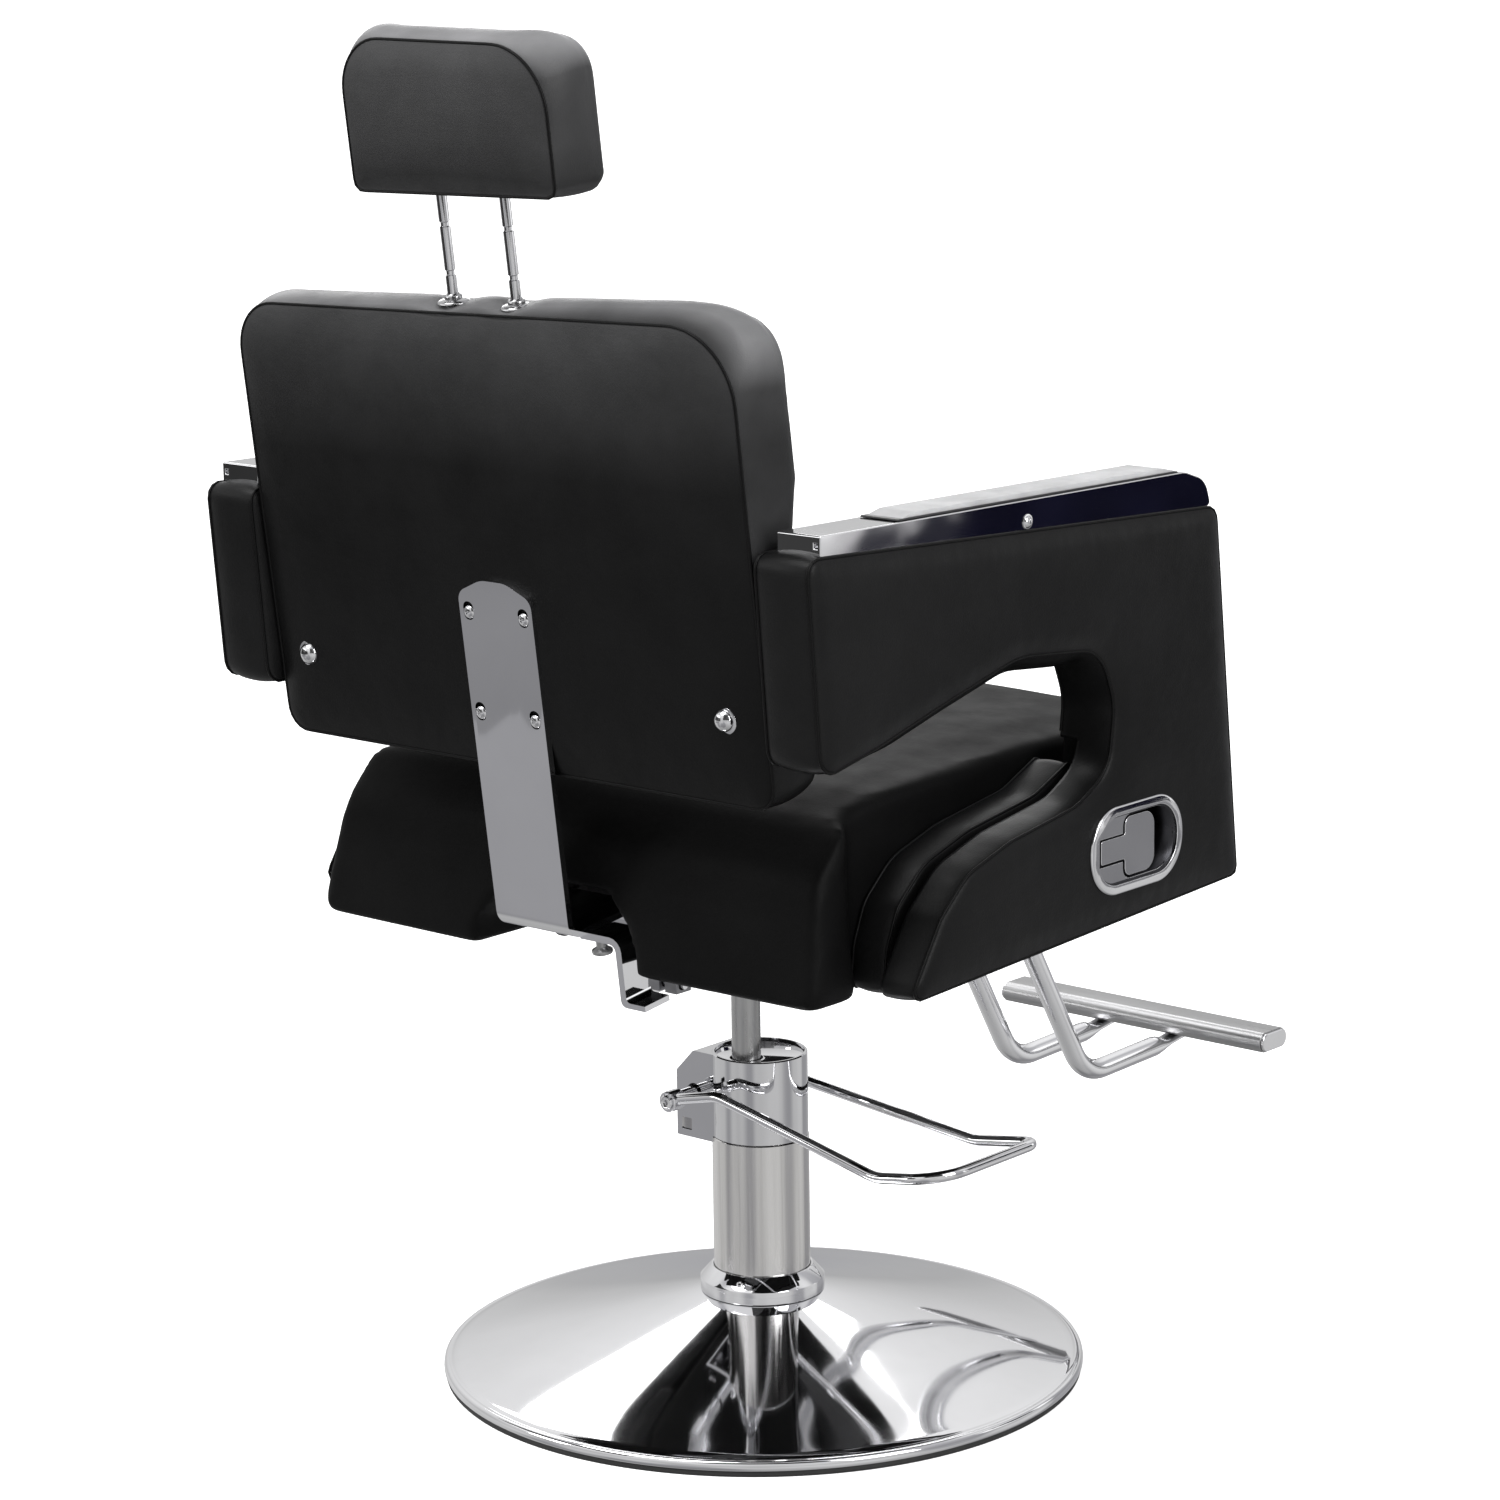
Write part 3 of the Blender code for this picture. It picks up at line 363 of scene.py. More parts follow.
def finish(name):
    """The material of a finish, made the first time it is asked for."""
    scene = bpy.context.scene
    leather = scene.chair_leather
    metal = scene.chair_metal
    makers = {
        "leather": lambda: leather_material(leather),
        # Painted light and shade on the headrest and the back: painted lighter or darker by height, mostly lighter
        # towards the top, with the strip round each panel painted lighter than the panel.
        "head_leather": lambda: leather_material(
            leather, "headrest_leather", 0.6, leather.headrest,
            (((1.10, 0.60), (1.13, 0.95), (1.18, 1.05), (1.21, 1.6)), ((1.08, 1.0), (1.20, 7.0)),
             ("Z", 0.25, 0.85))),
        "back_leather": lambda: leather_material(
            leather, "back_leather", 1.0, 1.0,
            (((0.60, 0.40), (0.78, 0.55), (0.86, 0.9), (0.94, 3.9), (1.0, 6.5)),
             ((0.62, 1.0), (0.76, 6.0), (0.90, 3.4), (0.945, 5.5), (0.985, 26.0)), ("Y", 0.86, 0.55))),
        # Painted shade: the seat's hide is painted darker than the rest of the leather.
        "seat_leather": lambda: leather_material(leather, "seat_leather", 0.4, 0.55, None, 0.07, 0.12),
        "welt": lambda: leather_material(leather, "leather_welt", 0.2, 0.5),
        "chrome": lambda: chrome_material(metal),
        "fine_chrome": lambda: chrome_material(metal, "fine_chrome", 0.95, 0.05),
        "sleeve": lambda: brushed_material(metal, "brushed_sleeve", (1.0, 1.0, 0.025), (0.70, 0.69, 0.68), 0.6, -0.17),
        "footrest": lambda: brushed_material(metal, "satin_footrest", (0.03, 1.0, 1.0), (0.42, 0.42, 0.425), 0.5),
        "tube": lambda: chrome_material(metal, "tube_chrome", 1.12, 0.07),
        "ram": lambda: brushed_material(metal, "ground_ram", (1.0, 1.0, 0.08), (0.42, 0.42, 0.42)),
        "collar": lambda: chrome_material(metal, "collar_chrome", 0.55, 0.16),
        "shroud": lambda: chrome_material(metal, "shroud_chrome", 0.86),
        "cup": lambda: painted_material("dark_cup", (0.05, 0.05, 0.055), 0.30, 1.0),
        "steel": lambda: painted_material("plain_steel", (0.34, 0.34, 0.35), 0.40, 1.0),
        "black_steel": lambda: painted_material("black_steel", (0.018, 0.018, 0.019), 0.42, 0.0, 0.00008, 500.0),
        # Painted sheen: the black pad is painted grey, standing in for the light that it reflects.
        "pad": lambda: painted_material("arm_pad_grey", (0.34, 0.34, 0.345), 0.50, 0.0, 0.00003, 1100.0),
        "rubber": lambda: painted_material("black_rubber", (0.012, 0.012, 0.012), 0.62, 0.0, 0.00010, 420.0),
    }
    if name not in MATERIALS:
        MATERIALS[name] = makers[name]()
    return MATERIALS[name]


# ---------------------------------------------------------------- mesh tools


def mesh_from(name, points, faces):
    """A mesh from points and faces, with its faces turned outwards."""
    mesh = bpy.data.meshes.new(name)
    mesh.from_pydata([tuple(point) for point in points], [], [tuple(face) for face in faces])
    work = bmesh.new()
    work.from_mesh(mesh)
    bmesh.ops.recalc_face_normals(work, faces=work.faces)
    work.to_mesh(mesh)
    work.free()
    return mesh


def piece(name, mesh, kind, matrix=None, sharp=40.0):
    """A new object of a finish, with smooth shading and its place baked into the mesh."""
    made = bpy.data.objects.new(name, mesh)
    bpy.context.scene.collection.objects.link(made)
    if matrix is not None:
        mesh.transform(matrix)
    mesh.materials.clear()
    mesh.materials.append(finish(kind))
    mesh.shade_smooth()
    if sharp is not None:
        mesh.set_sharp_from_angle(angle=math.radians(sharp))
    return made


def settle(made, body, *nodes):
    """The piece rides on a body and stands for the CAD nodes named."""
    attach(made, body)
    if nodes:
        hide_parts(*nodes)
    return made


def bake(made):
    """Applies every modifier of an object to its mesh."""
    bpy.context.view_layer.update()
    evaluated = made.evaluated_get(bpy.context.evaluated_depsgraph_get())
    mesh = bpy.data.meshes.new_from_object(evaluated)
    made.modifiers.clear()
    made.data = mesh
    return made


def refinish(made, kind, sharp=None):
    """Gives a piece one finish all over after its cuts, and hard edges above an angle where one is given."""
    made.data.materials.clear()
    made.data.materials.append(finish(kind))
    if sharp is not None:
        made.data.shade_smooth()
        made.data.set_sharp_from_angle(angle=math.radians(sharp))
    return made


def combine(made, other, operation):
    """A Boolean with a tool object, applied at once; the tool is removed."""
    change = made.modifiers.new("Tool", "BOOLEAN")
    change.operation = operation
    change.solver = "EXACT"
    change.object = other
    bake(made)
    bpy.data.objects.remove(other, do_unlink=True)
    return made


def cut(made, other):
    """Takes a tool out of the piece."""
    return combine(made, other, "DIFFERENCE")


def join(made, other):
    """Adds a tool to the piece."""
    return combine(made, other, "UNION")


def soften(made, width, segments=3, angle=35.0):
    """Rounded edges on metal."""
    change = made.modifiers.new("Edges", "BEVEL")
    change.width = width * bpy.context.scene.chair_metal.edges
    change.segments = segments
    change.limit_method = "ANGLE"
    change.angle_limit = math.radians(angle)
    change.use_clamp_overlap = True
    change.harden_normals = True
    return made


def fillet(before, corner, after, radius, steps):
    """Points round a corner between its two neighbours."""
    to_before = (before - corner).normalized()
    to_after = (after - corner).normalized()
    half = to_before.angle(to_after) / 2.0
    if radius <= 0.0 or half > math.radians(89.0):
        return [corner]
    room = 0.49 * min((before - corner).length, (after - corner).length)
    reach = min(radius / math.tan(half), room)
    middle = corner + (to_before + to_after).normalized() * (reach / math.cos(half))
    start = corner + to_before * reach - middle
    end = corner + to_after * reach - middle
    sweep = start.angle(end)
    shares = [step / steps for step in range(steps + 1)]
    return [middle + (start * math.sin((1.0 - share) * sweep) + end * math.sin(share * sweep)) / math.sin(sweep)
            for share in shares]


def rounded(corners, closed=True, steps=8):
    """Corner points, each with its fillet radius last, as one list of vectors."""
    points = [Vector(corner[:-1]) for corner in corners]
    path = []
    for index, corner in enumerate(corners):
        if not closed and index in (0, len(corners) - 1):
            path.append(points[index])
            continue
        path += fillet(points[index - 1], points[index], points[(index + 1) % len(points)], corner[-1], steps)
    return path


def spaced(points, spacing, closed=True):
    """The same path with points at an even spacing."""
    path = np.array([tuple(point) for point in points], float)
    if closed:
        path = np.vstack([path, path[:1]])
    lengths = np.linalg.norm(np.diff(path, axis=0), axis=1)
    keep = np.concatenate([[True], lengths > TINY])
    path = path[keep]
    along = np.concatenate([[0.0], np.cumsum(np.linalg.norm(np.diff(path, axis=0), axis=1))])
    count = max(8, int(round(along[-1] / spacing)))
    stations = np.linspace(0.0, along[-1], count + 1)
    even = np.column_stack([np.interp(stations, along, path[:, axis]) for axis in range(path.shape[1])])
    return even[:-1] if closed else even


def lathe(name, profile, kind, steps=None, matrix=None, sharp=40.0):
    """A turned piece about Z from a closed or axis-to-axis list of (radius, height)."""
    steps = steps or bpy.context.scene.chair_metal.turns
    points = []
    rows = []
    for radius, height in profile:
        if radius < TINY:
            rows.append([len(points)] * steps)
            points.append((0.0, 0.0, height))
            continue
        rows.append([len(points) + step for step in range(steps)])
        for step in range(steps):
            angle = 2.0 * math.pi * step / steps
            points.append((radius * math.cos(angle), radius * math.sin(angle), height))
    if profile[0][0] >= TINY:
        rows.append(rows[0])
    faces = []
    for upper, lower in zip(rows, rows[1:]):
        for step in range(steps):
            after = (step + 1) % steps
            corners = [upper[step], lower[step], lower[after], upper[after]]
            unique = list(dict.fromkeys(corners))
            if len(unique) > 2:
                faces.append(unique)
    return piece(name, mesh_from(name, points, faces), kind, matrix, sharp)


def tube(name, path, radius, kind, sides=20, closed=False, matrix=None, squash=None):
    """A round bar along a path; radius is one number or one for each point, squash a height share for each."""
    path = np.array([tuple(point) for point in path], float)
    count = len(path)
    radii = np.full(count, radius) if np.isscalar(radius) else np.array(radius, float)
    heights = np.ones(count) if squash is None else np.array(squash, float)
    ahead = np.roll(path, -1, axis=0) - path
    behind = path - np.roll(path, 1, axis=0)
    if not closed:
        ahead[-1] = behind[-1]
        behind[0] = ahead[0]
    tangents = ahead + behind
    tangents /= np.linalg.norm(tangents, axis=1)[:, None]
    side = np.cross(tangents[0], (0.0, 0.0, 1.0))
    if np.linalg.norm(side) < 0.1:
        side = np.cross(tangents[0], (1.0, 0.0, 0.0))
    sides_at = []
    for tangent in tangents:
        side = side - tangent * (side @ tangent)
        side /= np.linalg.norm(side)
        sides_at.append(side)
    points = []
    for centre, tangent, side, reach, height in zip(path, tangents, sides_at, radii, heights):
        other = np.cross(tangent, side)
        for step in range(sides):
            angle = 2.0 * math.pi * step / sides
            points.append(centre + side * reach * math.cos(angle) + other * reach * height * math.sin(angle))
    faces = []
    for row in range(count if closed else count - 1):
        after = (row + 1) % count
        for step in range(sides):
            turn = (step + 1) % sides
            faces.append((row * sides + step, row * sides + turn, after * sides + turn, after * sides + step))
    if not closed:
        faces.append(tuple(range(sides)))
        faces.append(tuple(range((count - 1) * sides, count * sides)))
    return piece(name, mesh_from(name, points, faces), kind, matrix, 50.0)


PLANES = {
    "X": lambda flat, height: (height, flat[0], flat[1]),
    "Y": lambda flat, height: (flat[0], height, flat[1]),
    "Z": lambda flat, height: (flat[0], flat[1], height),
}


def plate(name, corners, low, high, axis, kind, steps=8, matrix=None):
    """A flat outline with filleted corners, extruded between two heights on an axis."""
    outline = rounded(corners, True, steps)
    count = len(outline)
    place = PLANES[axis]
    points = [place(flat, height) for height in (low, high) for flat in outline]
    faces = [tuple(range(count)), tuple(range(count, 2 * count))]
    faces += [(step, (step + 1) % count, count + (step + 1) % count, count + step) for step in range(count)]
    mesh = mesh_from(name, points, faces)
    work = bmesh.new()
    work.from_mesh(mesh)
    bmesh.ops.remove_doubles(work, verts=work.verts, dist=0.00002)
    work.to_mesh(mesh)
    work.free()
    return piece(name, mesh, kind, matrix)


def box(name, low, high, kind="steel", matrix=None):
    """A block between two corners."""
    corners = [(low[0], low[1], 0.0), (high[0], low[1], 0.0), (high[0], high[1], 0.0), (low[0], high[1], 0.0)]
    return plate(name, corners, low[2], high[2], "Z", kind, 1, matrix)


def turned_matrix(centre, direction):
    """Takes a lathe's Z axis to a direction through a point."""
    turn = Vector((0.0, 0.0, 1.0)).rotation_difference(Vector(direction)).to_matrix().to_4x4()
    return Matrix.Translation(Vector(centre)) @ turn


# ---------------------------------------------------------------- upholstery


def outward_normals(ring):
    """Unit normals of a closed 2D ring, pointing out of it."""
    tangent = np.roll(ring, -1, axis=0) - np.roll(ring, 1, axis=0)
    tangent /= np.linalg.norm(tangent, axis=1)[:, None]
    area = np.sum(ring[:, 0] * np.roll(ring[:, 1], -1) - np.roll(ring[:, 0], -1) * ring[:, 1])
    sign = 1.0 if area > 0.0 else -1.0
    return np.column_stack([tangent[:, 1], -tangent[:, 0]]) * sign


def distance_to(ring, points):
    """Distance of 2D points from a closed ring's line."""
    start = ring
    along = np.roll(ring, -1, axis=0) - ring
    square = np.sum(along * along, axis=1)
    best = np.full(len(points), 1e9)
    for first in range(0, len(points), 2000):
        part = points[first:first + 2000]
        offset = part[:, None, :] - start[None]
        share = np.clip(np.sum(offset * along[None], axis=2) / square[None], 0.0, 1.0)
        gap = offset - share[..., None] * along[None]
        best[first:first + 2000] = np.sqrt(np.min(np.sum(gap * gap, axis=2), axis=1))
    return best


def inside(ring, points):
    """Which 2D points lie in a closed ring."""
    found = np.zeros(len(points), bool)
    for start, end in zip(ring, np.roll(ring, -1, axis=0)):
        crosses = (start[1] > points[:, 1]) != (end[1] > points[:, 1])
        height = np.where(end[1] == start[1], TINY, end[1] - start[1])
        found ^= crosses & (points[:, 0] < (end[0] - start[0]) * (points[:, 1] - start[1]) / height + start[0])
    return found


SEAM_ROWS = (0.0014, 0.0035, 0.0065, 0.0105, 0.0155, 0.0215)


def panel_sheet(ring, spacing):
    """Points and triangles that fill a ring: rows close to the seam, then an even field."""
    normals = outward_normals(ring)
    low = ring.min(axis=0)
    high = ring.max(axis=0)
    rows = np.arange(low[1], high[1], spacing * 0.866)
    field = []
    for index, height in enumerate(rows):
        shift = 0.5 * spacing * (index % 2)
        field += [(across, height) for across in np.arange(low[0] + shift, high[0], spacing)]
    field = np.array(field)
    gathered = [ring]
    for reach in SEAM_ROWS:
        step = max(1, int(round(reach / 0.016)))
        row = (ring - normals * reach)[::step]
        gathered.append(row[distance_to(ring, row) > reach * 0.93])
    clear = (distance_to(ring, field) > SEAM_ROWS[-1] + 0.55 * spacing) & inside(ring, field)
    gathered.append(field[clear])
    points = np.vstack(gathered)
    flat = [Vector(point) for point in points]
    filled = geometry.delaunay_2d_cdt(flat, [], [list(range(len(ring)))], 1, 1e-7)
    points = np.array([tuple(point) for point in filled[0]])
    return points, [tuple(face) for face in filled[2]]


def roll_off(distance, drop, reach):
    """How far a cover falls towards its seam: a quarter circle when drop and reach agree, else a soft roll."""
    share = np.clip(1.0 - distance / reach, 0.0, 1.0)
    return drop * (1.0 - np.sqrt(np.clip(1.0 - share * share, 0.0, 1.0)))


def cushion_mesh(ring, flare, low, high, edges, bulge, rows, crowns=(0.0, 0.0), spacing=None):
    """A boxed cushion: two panels sewn to a band.

    ring is the high panel's outline and flare how much wider the low panel is at each of its points. low and
    high are the panels' heights, edges their (drop, reach) at the seams, bulge how far the band swells at each
    ring point, and rows the band's rows.
    """
    spacing = spacing or bpy.context.scene.chair_leather.spacing
    normals = outward_normals(ring)
    outlines = (ring + normals * flare[:, None], ring)
    vertices = []
    faces = []
    seam = []
    seams = []
    start = 0
    for outline, level, sign, (drop, reach), crown in zip(outlines, (low, high), (-1.0, 1.0), edges, crowns):
        points, triangles = panel_sheet(outline, spacing)
        apart = distance_to(outline, points)
        rise = crown * (1.0 - np.exp(-(apart / 0.055) ** 2))
        heights = level + sign * (rise - roll_off(apart, drop, reach))
        order = np.argmin(np.linalg.norm(points[:, None, :] - outline[None], axis=2), axis=0)
        vertices.append(np.column_stack([points, heights]))
        seam.append(apart < 1e-5)
        seams.append((order + start, heights[order]))
        turned = triangles if sign > 0.0 else [(a, c, b) for a, b, c in triangles]
        faces += [(a + start, b + start, c + start) for a, b, c in turned]
        start += len(points)
    (first, bottom), (last, top) = seams
    loops = [first]
    size = len(ring)
    for row in range(1, rows):
        share = row / rows
        out = np.sin(math.pi * share) ** 0.75 * bulge + flare * (1.0 - share)
        vertices.append(np.column_stack([ring + normals * out[:, None], bottom + (top - bottom) * share]))
        loops.append(np.arange(start, start + size))
        seam.append(np.zeros(size, bool))
        start += size
    loops.append(last)
    for lower, upper in zip(loops, loops[1:]):
        faces += [(lower[step], lower[(step + 1) % size], upper[(step + 1) % size], upper[step])
                  for step in range(size)]
    return np.vstack(vertices), faces, np.concatenate(seam), (outlines, bottom, top)


def evened(mesh, change, pinned, rounds):
    """Shares each point's movement with its neighbours, so the swelling has no sharp pleats."""
    ends = np.empty(2 * len(mesh.edges), np.int64)
    mesh.edges.foreach_get("vertices", ends)
    ends = ends.reshape(-1, 2)
    count = np.bincount(ends.ravel(), minlength=len(change))[:, None]
    change = np.nan_to_num(change)
    for _ in range(rounds):
        total = np.zeros_like(change)
        np.add.at(total, ends[:, 0], change[ends[:, 1]])
        np.add.at(total, ends[:, 1], change[ends[:, 0]])
        change = 0.4 * change + 0.6 * total / np.maximum(count, 1)
        change[pinned] = 0.0
    return change


def swell(made, pinned, cap, pressure=4.0, frames=20, soft=12):
    """Blows the cover up like a padded cushion with Cloth, held at its seams, by no more than cap."""
    scene = bpy.context.scene
    rest = np.array([tuple(vertex.co) for vertex in made.data.vertices])
    group = made.vertex_groups.new(name="seams")
    group.add([int(index) for index in np.flatnonzero(pinned)], 1.0, "REPLACE")
    cloth = made.modifiers.new("Padding", "CLOTH")
    cloth.settings.quality = 5
    cloth.settings.mass = 0.3
    cloth.settings.tension_stiffness = 25.0
    cloth.settings.compression_stiffness = 25.0
    cloth.settings.shear_stiffness = 12.0
    cloth.settings.bending_stiffness = 2.0
    cloth.settings.use_pressure = True
    cloth.settings.uniform_pressure_force = pressure
    cloth.settings.vertex_group_mass = group.name
    cloth.settings.effector_weights.gravity = 0.0
    cloth.collision_settings.use_collision = False
    cloth.point_cache.frame_start = 1
    cloth.point_cache.frame_end = frames
    for step in range(1, frames + 1):
        scene.frame_set(step)
    evaluated = made.evaluated_get(bpy.context.evaluated_depsgraph_get())
    moved = np.array([tuple(vertex.co) for vertex in evaluated.data.vertices])
    made.modifiers.remove(cloth)
    made.vertex_groups.remove(group)
    scene.frame_set(1)
    change = evened(made.data, moved - rest, pinned, soft)
    length = np.linalg.norm(change, axis=1)
    length = np.where(np.isfinite(length), length, 0.0)
    limited = cap * np.tanh(length / cap) * scene.chair_leather.fullness
    change = np.nan_to_num(change) * (limited / np.maximum(length, TINY))[:, None]
    made.data.vertices.foreach_set("co", (rest + change).astype(np.float32).ravel())
    made.data.update()
    return made


def subdivide(made, levels=1):
    """Smooths a cover with a subdivision."""
    change = made.modifiers.new("Smooth", "SUBSURF")
    change.levels = levels
    change.render_levels = levels
    return made


def to_axis(points, axis, matrix=None):
    """Sheet points (flat, flat, height) as points in space for an axis."""
    place = PLANES[axis]
    moved = [Vector(place((point[0], point[1]), point[2])) for point in points]
    return [matrix @ point for point in moved] if matrix is not None else moved


def no_flare(point, normal):
    """A band that goes straight up from its seam."""
    return 0.0


def tighter_corner(normal, most):
    """How far out a corner's points go to meet the same two edges with a smaller radius."""
    return most * (2.0 * abs(normal[0] * normal[1])) ** 2


def cushion(name, corners, low, high, axis, edges, bulge_at, rows, body, replaced, crowns=(0.0, 0.0), matrix=None,
            flare_at=no_flare, cap=0.003, steps=10, welts=("low", "high"), kind="leather", outward=1.0):
    """A whole boxed cushion with its piping, in place."""
    spacing = bpy.context.scene.chair_leather.spacing
    ring = spaced(rounded(corners, True, steps), spacing * 0.75)
    normals = outward_normals(ring)
    bulge = np.array([bulge_at(point, normal) for point, normal in zip(ring, normals)])
    flare = np.array([flare_at(point, normal) for point, normal in zip(ring, normals)])
    points, faces, seam, (outlines, bottom, top) = cushion_mesh(ring, flare, low, high, edges, bulge, rows, crowns)
    made = piece(name, mesh_from(name, to_axis(points, axis, matrix), faces), kind, None, None)
    swell(made, seam, cap)
    subdivide(made)
    for label, outline, level, sign in (("low", outlines[0], bottom, -1.0), ("high", outlines[1], top, 1.0)):
        if label in welts or ("outer" in welts and sign == outward):
            line = np.column_stack([outline, level + sign * 0.0002])
            piping(f"{name}_welt_{label}", to_axis(line, axis, matrix), body)
    settle(made, body, *replaced)
    return made


def piping(name, line, body, closed=True, radius=None):
    """A welt along a seam."""
    radius = radius or bpy.context.scene.chair_leather.welt
    return settle(tube(name, line, radius, "welt", 8, closed), body)


# ---------------------------------------------------------------- back and headrest


BACK_HALF = 0.2765
BACK_TOP_SEAM = 0.5505
BACK_BOTTOM = 0.163
BACK_REAR = 0.0757
BACK_FRONT = 0.0045


def build_back_cushion():
    """The back's cover, wider at the top and rounder at one corner than at the other."""
    corners = [(-BACK_HALF, BACK_BOTTOM, 0.020), (BACK_HALF, BACK_BOTTOM, 0.020),
               (BACK_HALF, BACK_TOP_SEAM - 0.0075, 0.045), (-BACK_HALF, BACK_TOP_SEAM + 0.0055, 0.062)]

    def bulge(point, normal):
        across = 0.5 - 0.5 * point[0] / BACK_HALF
        return 0.0028 + (0.0010 + 0.0120 * across) * max(0.0, normal[1])

    def flare(point, normal):
        above = np.clip((point[1] - 0.375) / 0.05, 0.0, 1.0)
        corner = tighter_corner(normal, 0.0120 if point[0] < 0.0 else 0.0050) if normal[1] > 0.0 else 0.0
        return above * (0.0095 * abs(normal[0]) ** 2 + corner)

    back = cushion("back_cushion_cover", corners, BACK_FRONT + 0.003, BACK_REAR, "Y",
                   ((0.016, 0.024), (0.0042, 0.030)), bulge, 12, "back", ("back_cushion", "back_board"),
                   (0.006, 0.0), BACK_FRAME, flare, 0.0022, welts=("high",), kind="back_leather")
    dimple_posts(back)
    return back


POST_X = 0.0355
POST_Y = 0.052


def dimple_posts(back):
    """The cover is drawn down where the headrest's collars hold it."""
    inverse = BACK_FRAME.inverted()
    rest = BACK_FRAME
    for vertex in back.data.vertices:
        local = inverse @ vertex.co
        if local.z < 0.50:
            continue
        for x in (-POST_X, POST_X):
            apart = math.hypot(local.x - x, (local.y - POST_Y) * 1.0)
            local.z -= 0.0060 * math.exp(-(apart / 0.020) ** 2)
        vertex.co = rest @ local
    back.data.update()


def build_headrest():
    """The headrest's cover, with its posts and collars."""
    half = 0.112
    corners = [(-half, 0.650, 0.008), (half, 0.646, 0.008), (half, 0.772, 0.046), (-half, 0.770, 0.054)]

    def bulge(point, normal):
        side = 0.0042 * np.clip((point[1] - 0.655) / 0.05, 0.0, 1.0)
        return 0.0012 + side * abs(normal[0]) + 0.0050 * max(0.0, normal[1])

    def flare(point, normal):
        corner = tighter_corner(normal, 0.0110) if normal[1] > 0.0 else 0.0
        return 0.0050 * abs(normal[0]) ** 2 + corner + 0.0040 * max(0.0, -normal[1])

    head = cushion("headrest_cover", corners, 0.0065, BACK_REAR, "Y", ((0.020, 0.026), (0.0032, 0.022)), bulge, 12,
                   "headrest", ("headrest_cushion",), (0.005, 0.0008), BACK_FRAME, flare, 0.0020,
                   welts=("high",), kind="head_leather")
    build_posts()
    return head


def build_posts():
    """The two notched posts, each with its collar in the back's top."""
    for side, sign in SIDES:
        radius = 0.0045
        profile = [(0.0, 0.700), (radius, 0.700)]
        for height in (0.618, 0.578):
            profile += [(radius, height + 0.0024), (radius - 0.0011, height + 0.0015),
                        (radius - 0.0011, height - 0.0015), (radius, height - 0.0024)]
        profile += [(radius, 0.4415), (radius - 0.0015, 0.440), (0.0, 0.440)]
        post = lathe(f"headrest_post_{side}_finish", profile, "fine_chrome", 32,
                     BACK_FRAME @ Matrix.Translation((sign * POST_X, POST_Y, 0.0)), 20.0)
        settle(post, "headrest", f"headrest_post_{side}")
        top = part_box(f"post_guide_{side}")[1]
        build_collar(side, sign, top)


def build_collar(side, sign, top):
    """A collar with a raised lip round a post."""
    local = BACK_FRAME.inverted() @ Vector((sign * POST_X, top.y, top.z))
    rim = local.z - 0.0014
    profile = [(0.0051, rim + 0.0044), (0.0060, rim + 0.0050), (0.0070, rim + 0.0044), (0.0073, rim + 0.0030),
               (0.0074, rim + 0.0014), (0.0110, rim + 0.0007), (0.0134, rim - 0.0006), (0.0138, rim - 0.0018),
               (0.0124, rim - 0.0026), (0.0080, rim - 0.0030), (0.0080, 0.390), (0.0051, 0.390)]
    collar = lathe(f"post_collar_{side}", profile, "collar", 40,
                   BACK_FRAME @ Matrix.Translation((sign * POST_X, POST_Y, 0.0)), 50.0)
    settle(collar, "back", f"post_guide_{side}")


# ---------------------------------------------------------------- back bracket and recline linkage


BRACKET_HALF = 0.0412
BRACKET_REAR = 0.0822
BRACKET_FRONT = 0.0762
SCREW_PLACES = {"upper_left": (0.0310, 0.2990), "upper_right": (-0.0310, 0.2990),
                "lower_left": (0.0310, 0.2115), "lower_right": (-0.0310, 0.2115)}


def back_place(x, y, z):
    """A place on the back's rear, for a piece turned about its own axis."""
    return BACK_FRAME @ Matrix.Translation((x, y, z)) @ Matrix.Rotation(-math.pi / 2.0, 4, "X")


def build_back_bracket():
    """The L-shaped bar behind the back, slotted for its screws and hinged under the seat."""
    low = 0.0180
    high = 0.0240
    outline = [(BRACKET_REAR, 0.340, 0.0), (BRACKET_REAR, low, 0.016), (-0.0085, low, 0.0), (-0.0085, high, 0.0),
               (BRACKET_FRONT, high, 0.010), (BRACKET_FRONT, 0.340, 0.0)]
    bar = plate("back_bracket_finish", outline, -BRACKET_HALF, BRACKET_HALF, "X", "chrome", 14)
    half = BRACKET_HALF + 0.010
    crest = [(-half, 0.300, 0.0), (-BRACKET_HALF - 0.0005, 0.300, 0.0), (-BRACKET_HALF + 0.0005, 0.3150, 0.012),
             (-0.014, 0.3272, 0.030), (0.014, 0.3272, 0.030), (BRACKET_HALF - 0.0005, 0.3150, 0.012),
             (BRACKET_HALF + 0.0005, 0.300, 0.0), (half, 0.300, 0.0), (half, 0.360, 0.0), (-half, 0.360, 0.0)]
    cut(bar, plate("crest_tool", crest, 0.060, 0.100, "Y", "chrome", 8))
    for x, z in SCREW_PLACES.values():
        slot = [(x - 0.0058, z - 0.0075, 0.0056), (x + 0.0058, z - 0.0075, 0.0056),
                (x + 0.0058, z + 0.0085, 0.0056), (x - 0.0058, z + 0.0085, 0.0056)]
        cut(bar, plate("slot_tool", slot, 0.070, 0.090, "Y", "chrome", 8))
    knuckle = lathe("knuckle_tool", [(0.0, 0.0405), (0.0098, 0.0405), (0.0098, -0.0405), (0.0, -0.0405)], "chrome",
                    48, Matrix.Rotation(math.pi / 2.0, 4, "Y"))
    web = box("web_tool", (-0.0400, -0.0085, 0.004), (0.0400, 0.0085, 0.0200))
    join(bar, web)
    join(bar, knuckle)
    bar.data.transform(BACK_FRAME)
    refinish(bar, "chrome", 30.0)
    soften(bar, 0.0007, 2)
    settle(bar, "back", "back_bracket")
    build_screws()
    return bar


